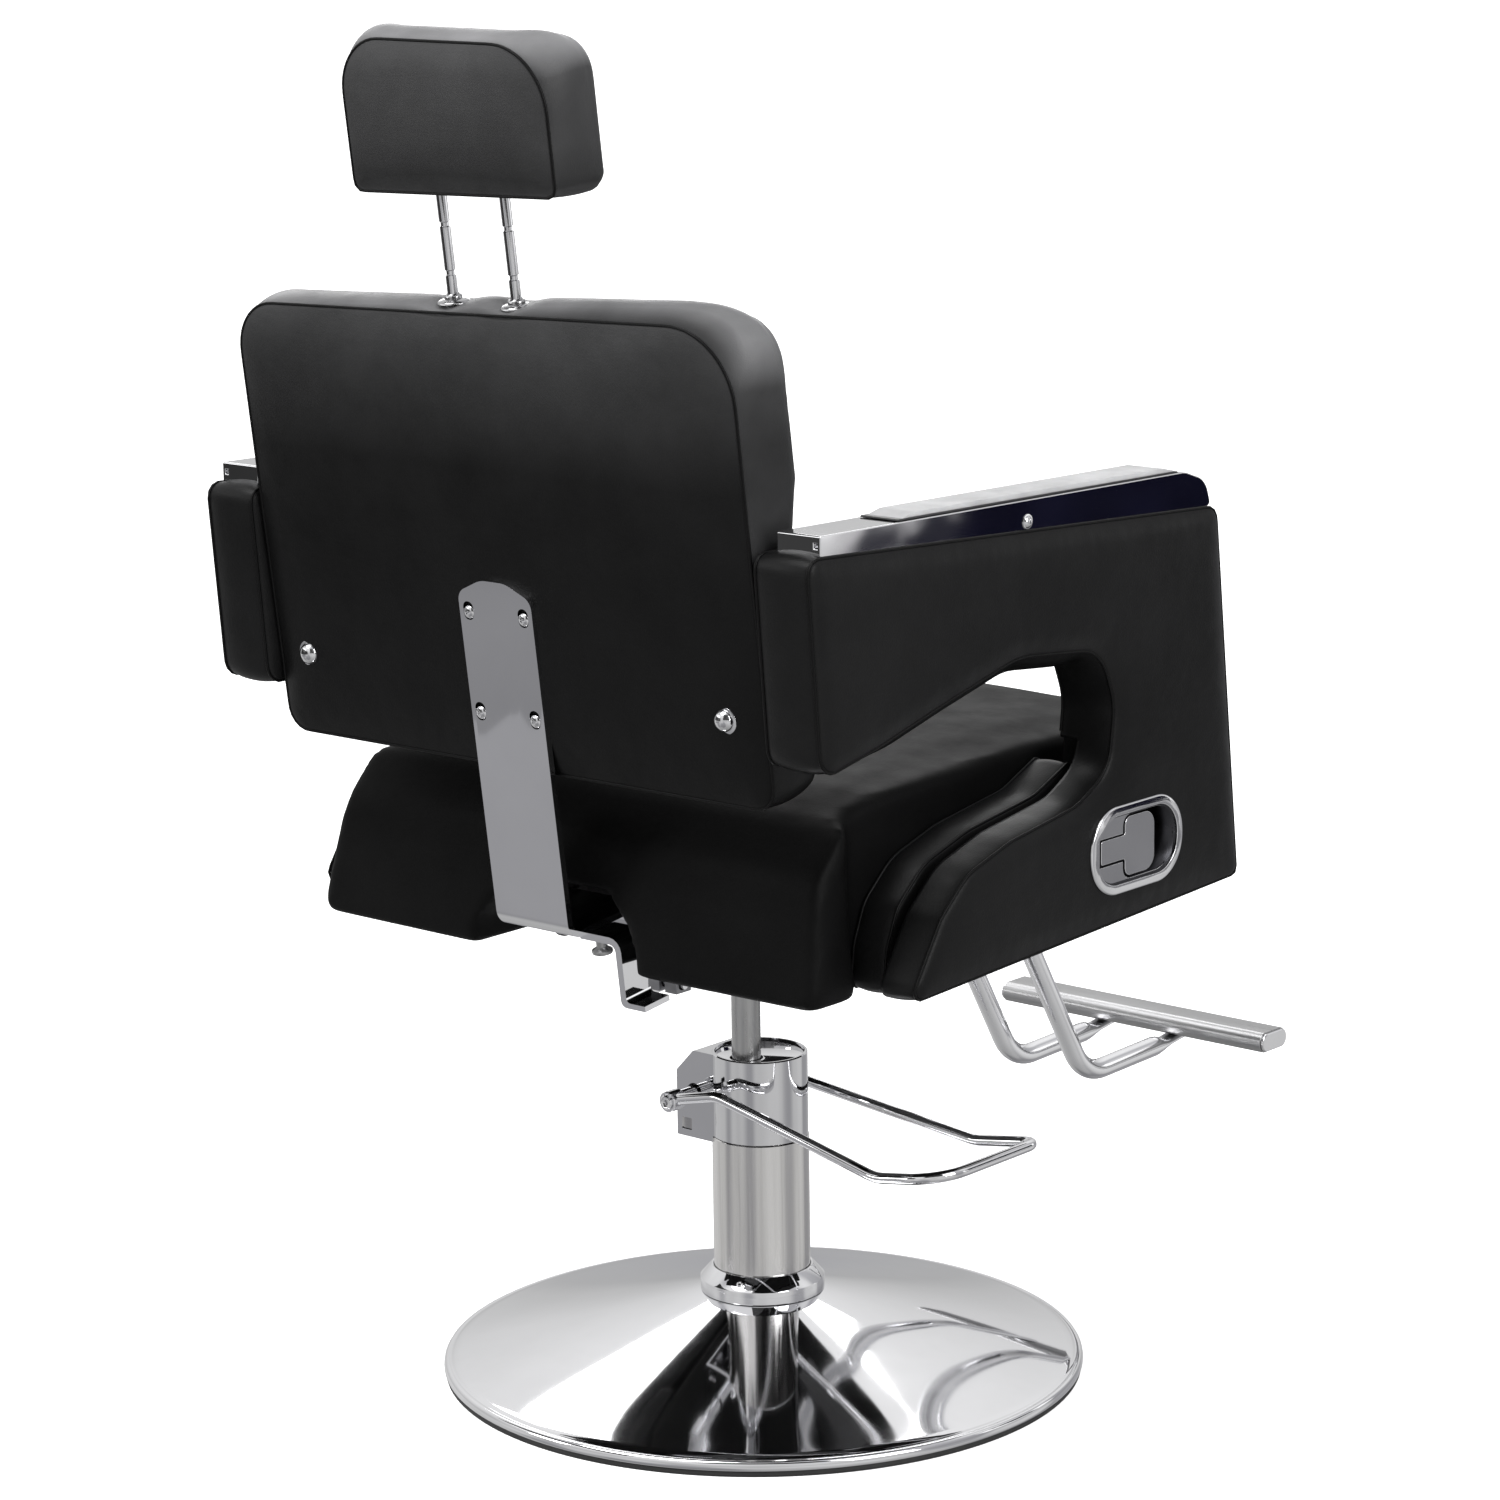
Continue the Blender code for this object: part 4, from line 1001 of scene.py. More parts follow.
def build_screws():
    """The bracket's cross-headed screws and the two domed bolts of the back."""
    for name, (x, z) in SCREW_PLACES.items():
        profile = [(0.0, 0.0042), (0.0022, 0.0040), (0.0042, 0.0033), (0.0056, 0.0019), (0.0060, 0.0004),
                   (0.0058, -0.0004), (0.0030, -0.0006), (0.0030, -0.0100), (0.0, -0.0100)]
        head = lathe(f"screw_{name}", profile, "fine_chrome", 40)
        for turn in (0.35, 0.35 + math.pi / 2.0):
            blade = box("blade_tool", (-0.0028, -0.00050, 0.0022), (0.0028, 0.00050, 0.0060))
            blade.data.transform(Matrix.Rotation(turn, 4, "Z"))
            cut(head, blade)
        head.data.transform(back_place(x, BRACKET_REAR - 0.0022, z - 0.0010))
        settle(head, "back", f"bracket_screw_{name}")
    for side, sign in SIDES:
        profile = [(0.0, 0.0085), (0.0030, 0.0082), (0.0058, 0.0070), (0.0080, 0.0048), (0.0092, 0.0022),
                   (0.0094, 0.0014), (0.0116, 0.0012), (0.0122, 0.0004), (0.0122, -0.0010), (0.0035, -0.0012),
                   (0.0035, -0.0095), (0.0, -0.0095)]
        bolt = lathe(f"back_bolt_{side}_finish", profile, "fine_chrome", 48,
                     back_place(sign * 0.2365, BACK_REAR + 0.0004, 0.2366))
        settle(bolt, "back", f"back_bolt_{side}")


def build_recline_link():
    """The two studs that hang from the bracket, and the arm below them."""
    for number in (1, 2):
        low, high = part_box(f"stop_stud_{number}")
        x = (low.x + high.x) / 2.0
        local = BACK_FRAME.inverted() @ Vector((x, (low.y + high.y) / 2.0, (low.z + high.z) / 2.0))
        top = 0.0180 - 0.0003 - 0.0065
        profile = [(0.0, top), (0.0048, top), (0.0048, top - 0.0075), (0.0056, top - 0.0084),
                   (0.0088, top - 0.0104), (0.0092, top - 0.0118), (0.0086, top - 0.0136), (0.0060, top - 0.0147),
                   (0.0, top - 0.0150)]
        y = {1: 0.0480, 2: 0.0340}[number]
        stud = lathe(f"stop_stud_{number}_finish", profile, "ram", 40,
                     BACK_FRAME @ Matrix.Translation((local.x, y, 0.0)))
        settle(stud, "back", f"stop_stud_{number}")
    dress("recline_arm", "chrome", 0.0012, 3)


def dress(name, kind, width=0.0006, segments=2):
    """Gives a carried-over CAD node its finish and rounded edges."""
    found = frame["nodes"][name]
    refinish(found, kind, 32.0)
    if width:
        soften(found, width, segments)
    return found


# ---------------------------------------------------------------- seat, side panels and bolsters


SWEEP = [(0.166, 0.500, 0.030), (0.130, 0.5305, 0.060), (0.072, 0.5475, 0.060), (-0.020, 0.5610, 0.060),
         (-0.064, 0.5840, 0.040)]
FRONT_WALL = -0.072
SEAT_HALF = 0.2555
SEAT_REAR_HALF = 0.2765


def notch_tool():
    """The arch at the seat's rear that clears the bracket."""
    half = [(0.094, 0.400, 0.0), (0.0925, 0.452, 0.012), (0.0760, 0.4760, 0.022), (0.0540, 0.4985, 0.020)]
    outline = half + [(-x, z, radius) for x, z, radius in reversed(half)]
    return plate("notch_tool", outline, 0.166, 0.330, "Y", "steel", 8)


def build_seat_cushion():
    """The seat's cover, which wraps round its board."""
    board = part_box("seat_board")
    low = board[0].z - 0.0022
    profile = [(-0.281, low, 0.008), (-0.288, 0.558, 0.030), (-0.262, 0.5920, 0.032), (-0.060, 0.5965, 0.200),
               (0.150, 0.5880, 0.080), (0.205, 0.5760, 0.040), (0.248, 0.5300, 0.070), (0.2670, low, 0.010)]
    ring = spaced(rounded(profile, True, 10), 0.008)
    normals = outward_normals(ring)
    bulge = np.array([0.0060 * max(0.0, normal[1]) + 0.0030 * abs(normal[0]) for normal in normals])
    half = SEAT_HALF - 0.0015
    points, faces, _, _ = cushion_mesh(ring, np.zeros(len(ring)), -half, half, ((0.009, 0.014), (0.009, 0.014)),
                                       bulge, 56, (0.0, 0.0), 0.010)
    wider = SEAT_REAR_HALF + 0.0100 * np.clip((0.530 - points[:, 1]) / 0.09, 0.0, 1.0)
    points[:, 2] *= 1.0 + (wider / SEAT_HALF - 1.0) * np.clip((points[:, 0] - 0.186) / 0.022, 0.0, 1.0)
    made = piece("seat_cushion_cover", mesh_from("seat", to_axis(points, "X"), faces), "seat_leather", None, None)
    cut(made, notch_tool())
    remesh = made.modifiers.new("Even", "REMESH")
    remesh.mode = "VOXEL"
    remesh.voxel_size = 0.0055
    bake(made)
    relax = made.modifiers.new("Relax", "SMOOTH")
    relax.factor = 0.5
    relax.iterations = 3
    bake(made)
    flat = np.array([vertex.co.z < low + 0.006 for vertex in made.data.vertices])
    swell(made, flat, 0.0022)
    refinish(made, "seat_leather")
    made.data.shade_smooth()
    subdivide(made)
    settle(made, "seat", "seat_cushion", "seat_board")
    return made


def panel_corners():
    """The side panel's outline, open to the rear under the arm."""
    upper = [(FRONT_WALL, 0.640, 0.050), (-0.052, 0.690, 0.045), (0.060, 0.7010, 0.120),
             (0.150, 0.6800, 0.200), (0.245, 0.6560, 0.080), (0.315, 0.6420, 0.016)]
    outer = [(0.3300, 0.8180, 0.012), (-0.2190, 0.7900, 0.014), (-0.2550, 0.4580, 0.006), (0.2080, 0.4375, 0.008)]
    return outer + SWEEP + upper


def bolster_corners():
    """The bolster's outline, which follows the panel's sweep."""
    raised = [(y, z + 0.003, radius) for y, z, radius in SWEEP[:-1]]
    return [(0.184, 0.4330, 0.006), (0.180, 0.470, 0.030)] + raised + [(-0.0720, 0.5860, 0.004),
                                                                   (-0.0720, 0.4330, 0.004)]


def panel_bulge(point, normal):
    """The band swells a little everywhere, and most under the arm, where the cover is loosest."""
    under_arm = np.clip((0.300 - point[0]) / 0.08, 0.0, 1.0) * np.clip((point[0] + 0.065) / 0.05, 0.0, 1.0)
    return 0.0035 + (0.0125 * under_arm if point[1] > 0.60 and normal[1] < -0.2 else 0.0)


def sweep_welts(side, sign):
    """The inner seam runs at the panel's inner edge, and steps out to the thin part along the sweep."""
    ring = spaced(rounded(panel_corners(), True, 10), bpy.context.scene.chair_leather.spacing * 0.75)
    swept = (ring[:, 0] > FRONT_WALL - 0.0065) & (ring[:, 1] < 0.606)
    start = int(np.flatnonzero(swept & ~np.roll(swept, 1))[0])
    order = np.roll(np.arange(len(ring)), -start)
    count = int(swept.sum())
    for label, part, x in (("inner", order[count:], 0.2851), ("sweep", order[:count], 0.3058)):
        line = [Vector((sign * x, *ring[index])) for index in part]
        piping(f"side_panel_{side}_welt_{label}", line, "seat", False)


def build_side_panels():
    """The two padded side panels, thinner along their sweep."""
    for side, sign in SIDES:
        inner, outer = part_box(f"side_panel_{side}")
        low, high = inner.x, outer.x
        panel = cushion(f"side_panel_{side}_cover", panel_corners(), low, high, "X",
                        ((0.0050, 0.018), (0.0050, 0.018)), panel_bulge, 8, "seat", (f"side_panel_{side}",),
                        (0.0, 0.0), None, no_flare, 0.0018, welts=("outer",), outward=sign)
        bake(panel)
        sweep_welts(side, sign)
        thin = sign * 0.3055
        start, end = sorted((sign * 0.250, thin))
        cut(panel, box("sweep_tool", (start, FRONT_WALL - 0.0065, 0.400), (end, 0.300, 0.606)))
        if side == "right":
            cut(panel, plate("pocket_tool", stadium(0.0590, 0.0315), low - 0.02, low + 0.0275, "X", "steel", 12))
        refinish(panel, "leather")


def build_bolsters():
    """The two narrow pads between the seat and the side panels."""
    for side, sign in SIDES:
        near, far = sorted((sign * 0.2570, sign * 0.2950))
        cushion(f"seat_bolster_{side}_cover", bolster_corners(), near, far, "X", ((0.0020, 0.008), (0.0020, 0.008)),
                lambda point, normal: 0.0020, 6, "seat", (f"seat_bolster_{side}",), (0.0, 0.0), None, no_flare, 0.0010)


# ---------------------------------------------------------------- arms


def arm_line(y):
    """Height of the line between an arm's padding and its cap."""
    return 0.7900 + (y + 0.2190) * (0.8180 - 0.7900) / (0.3270 + 0.2190)


def build_arm_tops():
    """The chromed caps, their bolts and the pads on them."""
    for side, sign in SIDES:
        low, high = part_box(f"arm_cap_{side}")
        rear = high.y
        outline = [(rear, arm_line(rear) + 0.0006, 0.001), (rear, 0.8345, 0.0015), (-0.174, 0.8252, 0.030),
                   (-0.2050, 0.8150, 0.024), (-0.2130, arm_line(-0.2090) + 0.0006, 0.004)]
        cap = plate(f"arm_cap_{side}_finish", outline, low.x, high.x, "X", "chrome", 14)
        hole = sign * 0.3325
        cut(cap, box("hole_tool", (hole - 0.0018, rear - 0.006, 0.8243), (hole + 0.0018, rear + 0.01, 0.8283)))
        refinish(cap, "chrome")
        soften(cap, 0.0009, 3)
        settle(cap, "seat", f"arm_cap_{side}")
        build_arm_pad(side)
        centre = (sign * (abs(high.x if sign > 0 else low.x) + 0.0002), 0.048, 0.8115)
        profile = [(0.0, 0.0030), (0.0022, 0.0028), (0.0042, 0.0019), (0.0052, 0.0006), (0.0062, 0.0004),
                   (0.0062, 0.0), (0.0, 0.0)]
        bolt = lathe(f"arm_cap_bolt_{side}_finish", profile, "fine_chrome", 32,
                     turned_matrix(centre, (sign, 0.0, 0.0)))
        settle(bolt, "seat", f"arm_cap_bolt_{side}")


def build_arm_pad(side):
    """A pad and the thin lip under it."""
    low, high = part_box(f"arm_pad_{side}")
    outline = [(0.2120, 0.8332, 0.001), (0.2040, 0.8346, 0.006), (0.1900, 0.8378, 0.012), (-0.146, 0.8314, 0.018),
               (-0.1640, 0.8272, 0.006), (-0.1665, 0.8256, 0.001)]
    pad = plate(f"arm_pad_{side}_finish", outline, low.x, high.x, "X", "pad", 8)
    soften(pad, 0.0022, 4, 30.0)
    settle(pad, "seat", f"arm_pad_{side}")
    lip = [(0.2140, 0.8331, 0.0005), (0.2120, 0.8345, 0.001), (-0.1660, 0.8266, 0.001), (-0.1685, 0.8254, 0.0005)]
    edge = plate(f"arm_pad_lip_{side}", lip, low.x - 0.0012, high.x + 0.0012, "X", "black_steel", 4)
    soften(edge, 0.0004, 2)
    settle(edge, "seat")


# ---------------------------------------------------------------- recline lever


LEVER_MIDDLE = (-0.095, 0.515)


def stadium(half_length, half_height, shift=0.0):
    """A rectangle with nearly round ends, about the recline lever."""
    y, z = LEVER_MIDDLE
    radius = half_height * 0.96
    return [(y - half_length + shift, z - half_height, radius), (y + half_length + shift, z - half_height, radius),
            (y + half_length + shift, z + half_height, radius), (y - half_length + shift, z + half_height, radius)]


def build_recline_lever():
    """The lever's escutcheon, the cup in it and the plate round the paddle."""
    low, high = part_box("lever_escutcheon")
    face = low.x
    ring = plate("lever_escutcheon_finish", stadium(0.0660, 0.0385), face, face + 0.0042, "X", "chrome", 20)
    soften(ring, 0.0030, 5)
    bake(ring)
    cut(ring, plate("hollow_tool", stadium(0.0575, 0.0300), face - 0.010, high.x, "X", "chrome", 16))
    refinish(ring, "fine_chrome", 30.0)
    soften(ring, 0.0008, 2, 50.0)
    settle(ring, "seat", "lever_escutcheon")
    cup = plate("lever_cup", stadium(0.0580, 0.0305), face + 0.0030, high.x, "X", "black_steel", 16)
    cut(cup, plate("hollow_tool", stadium(0.0560, 0.0285), face - 0.010, high.x - 0.0020, "X", "chrome", 16))
    refinish(cup, "cup")
    settle(cup, "seat")
    y, z = LEVER_MIDDLE
    surround = plate("lever_surround", stadium(0.0574, 0.0299), face + 0.0036, face + 0.0052, "X", "fine_chrome", 16)
    cut(surround, plate("recess_tool", [(y + 0.0170, z - 0.0280, 0.010), (y + 0.0170, z + 0.0280, 0.010),
                                        (y - 0.0560, z + 0.0278, 0.026), (y - 0.0560, z - 0.0278, 0.026)],
                        face - 0.01, face + 0.05, "X", "steel", 10))
    cut(surround, box("tab_tool", (face - 0.01, y - 0.02, z - 0.0122), (face + 0.05, LEVER_AXIS.y + 0.0152,
                                                                       z + 0.0122)))
    refinish(surround, "fine_chrome")
    soften(surround, 0.0005, 2)
    settle(surround, "seat")
    build_paddle(z)


def build_paddle(z):
    """The T-shaped paddle and its pin."""
    x = LEVER_AXIS.x
    y = LEVER_AXIS.y
    tab = 0.0104
    wide = 0.0258
    outline = [(y + 0.0125, z - tab, 0.002), (y + 0.0125, z + tab, 0.002), (y - 0.0215, z + tab, 0.003),
               (y - 0.0215, z + wide, 0.009), (y - 0.0640, z + wide, 0.013), (y - 0.0640, z - wide, 0.013),
               (y - 0.0215, z - wide, 0.009), (y - 0.0215, z - tab, 0.003)]
    paddle = plate("recline_paddle", outline, x - 0.0034, x - 0.0016, "X", "fine_chrome", 10)
    pin = lathe("paddle_pin", [(0.0, 0.0105), (0.0020, 0.0105), (0.0020, -0.0105), (0.0, -0.0105)], "fine_chrome",
                24, Matrix.Translation((x + 0.0014, y, z)))
    soften(paddle, 0.0005, 3)
    settle(paddle, "recline_lever", "recline_lever")
    settle(pin, "recline_lever")


# ---------------------------------------------------------------- pedestal and pump


def dish_height(radius):
    """Height of the base's upper side at a radius."""
    edge = 0.286
    share = (edge - radius) / (edge - 0.0445)
    return 0.0145 + 0.0600 * max(0.0, share) ** 1.08


def build_base():
    """The dish, the rubber ring under it and the hub's collar."""
    radii = np.linspace(0.0447, 0.2800, 44)
    top = [(radius, dish_height(radius)) for radius in radii]
    lip = [(0.2822, 0.0146), (0.2836, 0.0137), (0.2848, 0.0137), (0.2866, 0.0140), (0.2884, 0.0132),
           (0.2896, 0.0112), (0.2900, 0.0085), (0.2898, 0.0062), (0.2888, 0.0051), (0.2870, 0.0051),
           (0.2862, 0.0062), (0.2855, 0.0095), (0.2840, 0.0108)]
    under = [(radius, dish_height(radius) - 0.003) for radius in reversed(radii[::3])]
    dish = lathe("base_dish_finish", top + lip + under, "chrome", 160, None, 50.0)
    settle(dish, "base", "base_dish")
    ring = [(0.2880, 0.0047), (0.2886, 0.0038), (0.2884, 0.0008), (0.2876, 0.0), (0.2768, 0.0), (0.2760, 0.0008),
            (0.2760, 0.0047)]
    settle(lathe("base_rubber_finish", ring, "rubber", 160), "base", "base_rubber_ring")
    low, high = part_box("hub_collar")
    inner = 0.0443
    collar = [(inner, high.z), (inner + 0.0012, high.z + 0.0002), (inner + 0.0020, high.z - 0.0003),
              (0.0555, 0.0848), (0.0562, 0.0838), (0.0563, 0.0828), (0.0563, low.z - 0.0022),
              (0.0559, low.z - 0.0028), (0.0553, low.z - 0.0028), (inner, low.z + 0.0006)]
    settle(lathe("hub_collar_finish", collar, "chrome", 128, None, 24.0), "base", "hub_collar")
    settle(build_set_screw(), "base", "collar_set_screw")
    dress("pump_foot_flange", "black_steel", 0.001)


def build_set_screw():
    """The set screw in the collar's slope."""
    low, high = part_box("collar_set_screw")
    centre = (low + high) / 2.0
    outward = Vector((centre.x, centre.y, 0.0)).normalized()
    tilt = (outward * 0.72 + Vector((0.0, 0.0, 0.69))).normalized()
    profile = [(0.0, 0.0021), (0.0012, 0.0020), (0.0024, 0.0016), (0.0031, 0.0008), (0.0032, 0.0), (0.0030, -0.0016),
               (0.0, -0.0016)]
    screw = lathe("collar_screw_finish", profile, "fine_chrome", 32)
    cut(screw, lathe("hex_tool", [(0.0, 0.0040), (0.0014, 0.0040), (0.0014, 0.0006), (0.0, 0.0006)], "steel", 6))
    screw.data.transform(turned_matrix(centre + tilt * 0.0012, tilt))
    return screw


def build_pump():
    """The pump's sleeve, shroud, gland and ram, and what is inside."""
    low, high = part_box("pump_sleeve")
    outer = high.x
    inner = 0.0405
    sleeve = [(outer - 0.0008, high.z), (outer, high.z - 0.0008), (outer, low.z + 0.0006), (outer - 0.0006, low.z),
              (inner, low.z), (inner, high.z)]
    settle(lathe("pump_sleeve_finish", sleeve, "sleeve", 128), "base", "pump_sleeve")
    settle(build_shroud(), "base", "pump_shroud")
    settle(build_lid(), "base")
    dress("pump_body", "black_steel", 0.0012)
    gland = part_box("pump_gland")
    ring = [(0.0136, gland[1].z), (0.0165, gland[1].z), (0.0178, gland[1].z - 0.0012), (0.0178, gland[0].z),
            (0.0136, gland[0].z)]
    settle(lathe("pump_gland_finish", ring, "black_steel", 64, Matrix.Translation((0.0, RAM_AXIS.y, 0.0))), "base",
           "pump_gland")
    low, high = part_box("pump_ram")
    radius = (high.x - low.x) / 2.0
    ram = [(0.0, high.z), (0.0112, high.z), (0.0120, high.z - 0.0010), (radius, 0.380), (radius, low.z + 0.001),
           (radius - 0.001, low.z), (0.0, low.z)]
    settle(lathe("pump_ram_finish", ram, "ram", 72, Matrix.Translation((0.0, RAM_AXIS.y, 0.0))), "ram", "pump_ram")
    dress("pump_barrel", "steel", 0.0003)
    dress("pump_plunger", "steel", 0.0003)


def build_lid():
    """The plate that closes the shroud round the ram."""
    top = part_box("pump_shroud")[1].z - 0.0030
    lid = lathe("pump_lid", [(0.0, top), (0.0385, top), (0.0399, top - 0.0006), (0.0399, top - 0.0016),
                             (0.0, top - 0.0016)], "chrome", 96)
    hole = lathe("hole_tool", [(0.0, 0.320), (0.0150, 0.320), (0.0150, 0.250), (0.0, 0.250)], "chrome", 64,
                 Matrix.Translation((0.0, RAM_AXIS.y, 0.0)))
    cut(lid, hole)
    lid.data.shade_smooth()
    lid.data.set_sharp_from_angle(angle=math.radians(30.0))
    return lid


def build_shroud():
    """The upper shroud with its folded box round the pedal's shaft."""
    low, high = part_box("pump_shroud")
    bottom = 0.2168
    top = high.z
    outer = 0.0432
    wall = [(outer, top - 0.0010), (outer, bottom + 0.0005), (outer - 0.0005, bottom), (0.0100, bottom),
            (0.0100, top), (outer - 0.0010, top)]
    shroud = lathe("pump_shroud_finish", wall, "chrome", 144)
    outline = [(0.0, 0.293, 0.0), (0.048, 0.293, 0.0035), (high.x, 0.272, 0.0035), (high.x, low.z, 0.001),
               (0.0, low.z, 0.0)]
    join(shroud, plate("mechanism_tool", outline, -0.036, 0.036, "Y", "chrome", 8))
    bore = lathe("bore_tool", [(0.0, 0.330), (0.0405, 0.330), (0.0405, 0.190), (0.0, 0.190)], "steel", 144)
    cut(shroud, bore)
    hollow = [(0.0, 0.2905, 0.0), (0.047, 0.2905, 0.002), (0.0655, 0.271, 0.002), (0.0655, 0.200, 0.0),
              (0.0, 0.200, 0.0)]
    cut(shroud, plate("hollow_tool", hollow, -0.0335, 0.0335, "Y", "steel", 4))
    room = lathe("sleeve_tool", [(0.0, bottom), (0.0442, bottom), (0.0442, 0.190), (0.0, 0.190)], "steel", 144)
    cut(shroud, room)
    x, z = PEDAL_AXIS.x, PEDAL_AXIS.z
    shaft = lathe("shaft_tool", [(0.0, 0.060), (0.0092, 0.060), (0.0092, -0.060), (0.0, -0.060)], "steel", 48,
                  Matrix.Translation((x, 0.0, z)) @ Matrix.Rotation(math.pi / 2.0, 4, "X"))
    cut(shroud, shaft)
    window = [(0.0505, 0.2180, 0.001), (0.0625, 0.2180, 0.001), (0.0625, 0.2290, 0.001), (0.0505, 0.2290, 0.001)]
    cut(shroud, plate("window_tool", window, 0.030, 0.040, "Y", "steel", 4))
    refinish(shroud, "shroud", 28.0)
    return soften(shroud, 0.0006, 2, 40.0)


# ---------------------------------------------------------------- pedal and footrest


def build_pedal():
    """The pedal's bent bar and its shaft."""
    x, z = PEDAL_AXIS.x, PEDAL_AXIS.z
    near = 0.070
    end = -0.260
    corners = [(x - 0.0004, near - 0.0045, z + 0.0010, 0.0), (x - 0.055, near - 0.0025, z + 0.0140, 0.035),
               (-0.190, near, z - 0.0250, 0.045), (end, near, z - 0.0135, 0.034), (end, -near, z - 0.0135, 0.016),
               (-0.190, -near, z - 0.0250, 0.045), (x - 0.0004, -near + 0.0045, z + 0.0010, 0.0)]
    path = spaced(rounded(corners, False, 12), 0.0035, False)
    bar = tube("pedal_bar_finish", path, 0.005, "chrome", 24)
    hubs = [lathe("hub_tool", [(0.0, 0.0075), (0.0088, 0.0075), (0.0095, 0.0068), (0.0095, -0.0068),
                               (0.0088, -0.0075), (0.0, -0.0075)], "chrome", 48,
                  Matrix.Translation((x, sign * (near - 0.0045), z)) @ Matrix.Rotation(math.pi / 2.0, 4, "X"))
            for sign in (-1.0, 1.0)]
    for hub in hubs:
        join(bar, hub)
    bore = lathe("bore_tool", [(0.0, 0.10), (0.0069, 0.10), (0.0069, -0.10), (0.0, -0.10)], "chrome", 48,
                 Matrix.Translation((x, 0.0, z)) @ Matrix.Rotation(math.pi / 2.0, 4, "X"))
    cut(bar, bore)
    bar.data.shade_smooth()
    bar.data.set_sharp_from_angle(angle=math.radians(40.0))
    settle(bar, "pedal", "pedal_bar")
    low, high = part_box("pedal_shaft")
    radius = (high.x - low.x) / 2.0
    profile = [(0.0, high.y), (radius - 0.0012, high.y), (radius, high.y - 0.0012), (radius, low.y + 0.0012),
               (radius - 0.0012, low.y), (0.0, low.y)]
    turn = Matrix.Translation((x, 0.0, z)) @ Matrix.Rotation(-math.pi / 2.0, 4, "X")
    shaft = lathe("pedal_shaft_finish", profile, "fine_chrome", 48)
    cut(shaft, lathe("hex_tool", [(0.0, 0.090), (0.0033, 0.090), (0.0033, high.y - 0.006), (0.0, high.y - 0.006)],
                     "steel", 6))
    shaft.data.transform(turn)
    settle(shaft, "pedal", "pedal_shaft")
    dress("pedal_cam", "steel", 0.0004)


def build_footrest():
    """The two bent tubes, the foot bar and the plugs in its ends."""
    for side, sign in SIDES:
        low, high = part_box(f"footrest_tube_{side}")
        x = (low.x + high.x) / 2.0
        radius = (high.x - low.x) / 2.0
        corners = [(x, high.y, 0.4190, 0.0), (x, -0.2870, 0.4190, 0.040), (x, -0.4290, 0.1795, 0.052),
                   (x, -0.5560, 0.1826, 0.020), (x, low.y - 0.008, 0.1868, 0.0)]
        path = spaced(rounded(corners, False, 16), 0.005, False)
        flat = np.clip((path[:, 1] + 0.566) / 0.022, 0.0, 1.0)
        heights = 0.42 + 0.58 * flat * flat * (3.0 - 2.0 * flat)
        leg = tube(f"footrest_tube_{side}_finish", path, radius, "tube", 32, squash=heights)
        settle(leg, "seat", f"footrest_tube_{side}")
    low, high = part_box("footrest_bar")
    section = [(high.y, low.z, 0.0097), (low.y, low.z, 0.0097), (low.y, high.z, 0.0097), (high.y, high.z, 0.0097)]
    bar = plate("footrest_bar_finish", section, low.x + 0.0030, high.x - 0.0030, "X", "footrest", 14)
    soften(bar, 0.0006, 3, 50.0)
    settle(bar, "seat", "footrest_bar")
    for side, sign in SIDES:
        start, end = sorted((sign * (high.x - 0.0030), sign * high.x))
        smaller = [(high.y - 0.0012, low.z + 0.0012, 0.0086), (low.y + 0.0012, low.z + 0.0012, 0.0086),
                   (low.y + 0.0012, high.z - 0.0012, 0.0086), (high.y - 0.0012, high.z - 0.0012, 0.0086)]
        plug = plate(f"footrest_end_{side}", smaller, start, end, "X", "fine_chrome", 12)
        soften(plug, 0.0012, 3, 50.0)
        settle(plug, "seat")
    dress("footrest_clamp", "black_steel", 0.0012)


def build_under_seat():
    """The plates, the socket, the gas spring and the cable under the seat."""
    for name in ("seat_plate", "hinge_bracket", "gas_spring_mount"):
        dress(name, "black_steel", 0.0008)
    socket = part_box("ram_socket")
    low, high = socket[0].z, socket[1].z
    profile = [(0.0137, high), (0.0425, high), (0.0440, high - 0.0015), (0.0440, high - 0.0050),
               (0.0300, high - 0.0066), (0.0250, high - 0.0100), (0.0228, high - 0.0160), (0.0220, low + 0.0015),
               (0.0205, low), (0.0137, low)]
    settle(lathe("ram_socket_finish", profile, "black_steel", 72, Matrix.Translation((0.0, RAM_AXIS.y, 0.0)), 50.0),
           "seat", "ram_socket")
    dress("recline_pin", "steel", 0.0006)
    dress("gas_spring_rod", "steel", 0.0005)
    low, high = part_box("gas_spring_cylinder")
    x, z = (low.x + high.x) / 2.0, (low.z + high.z) / 2.0
    radius = (high.x - low.x) / 2.0
    profile = [(0.0, low.y), (radius - 0.0015, low.y), (radius, low.y + 0.0015), (radius, high.y - 0.0030),
               (radius - 0.0015, high.y - 0.0008), (radius - 0.0030, high.y), (0.0043, high.y),
               (0.0043, high.y - 0.08), (0.0, high.y - 0.08)]
    settle(lathe("gas_spring_finish", profile, "black_steel", 48,
                 Matrix.Translation((x, 0.0, z)) @ Matrix.Rotation(-math.pi / 2.0, 4, "X"), 50.0), "seat",
           "gas_spring_cylinder")
    route = [(x, -0.1053, 0.4165, 0.0), (x, -0.128, 0.4165, 0.016), (-0.150, -0.142, 0.4215, 0.030),
             (-0.235, -0.118, 0.4270, 0.030), (-0.268, -0.112, 0.4270, 0.008), (-0.268, -0.112, 0.4480, 0.008),
             (-0.2985, -0.112, 0.4480, 0.0)]
    settle(tube("release_cable_finish", spaced(rounded(route, False, 8), 0.003, False), 0.0025, "rubber", 14),
           "seat", "release_cable")


# ---------------------------------------------------------------- stage


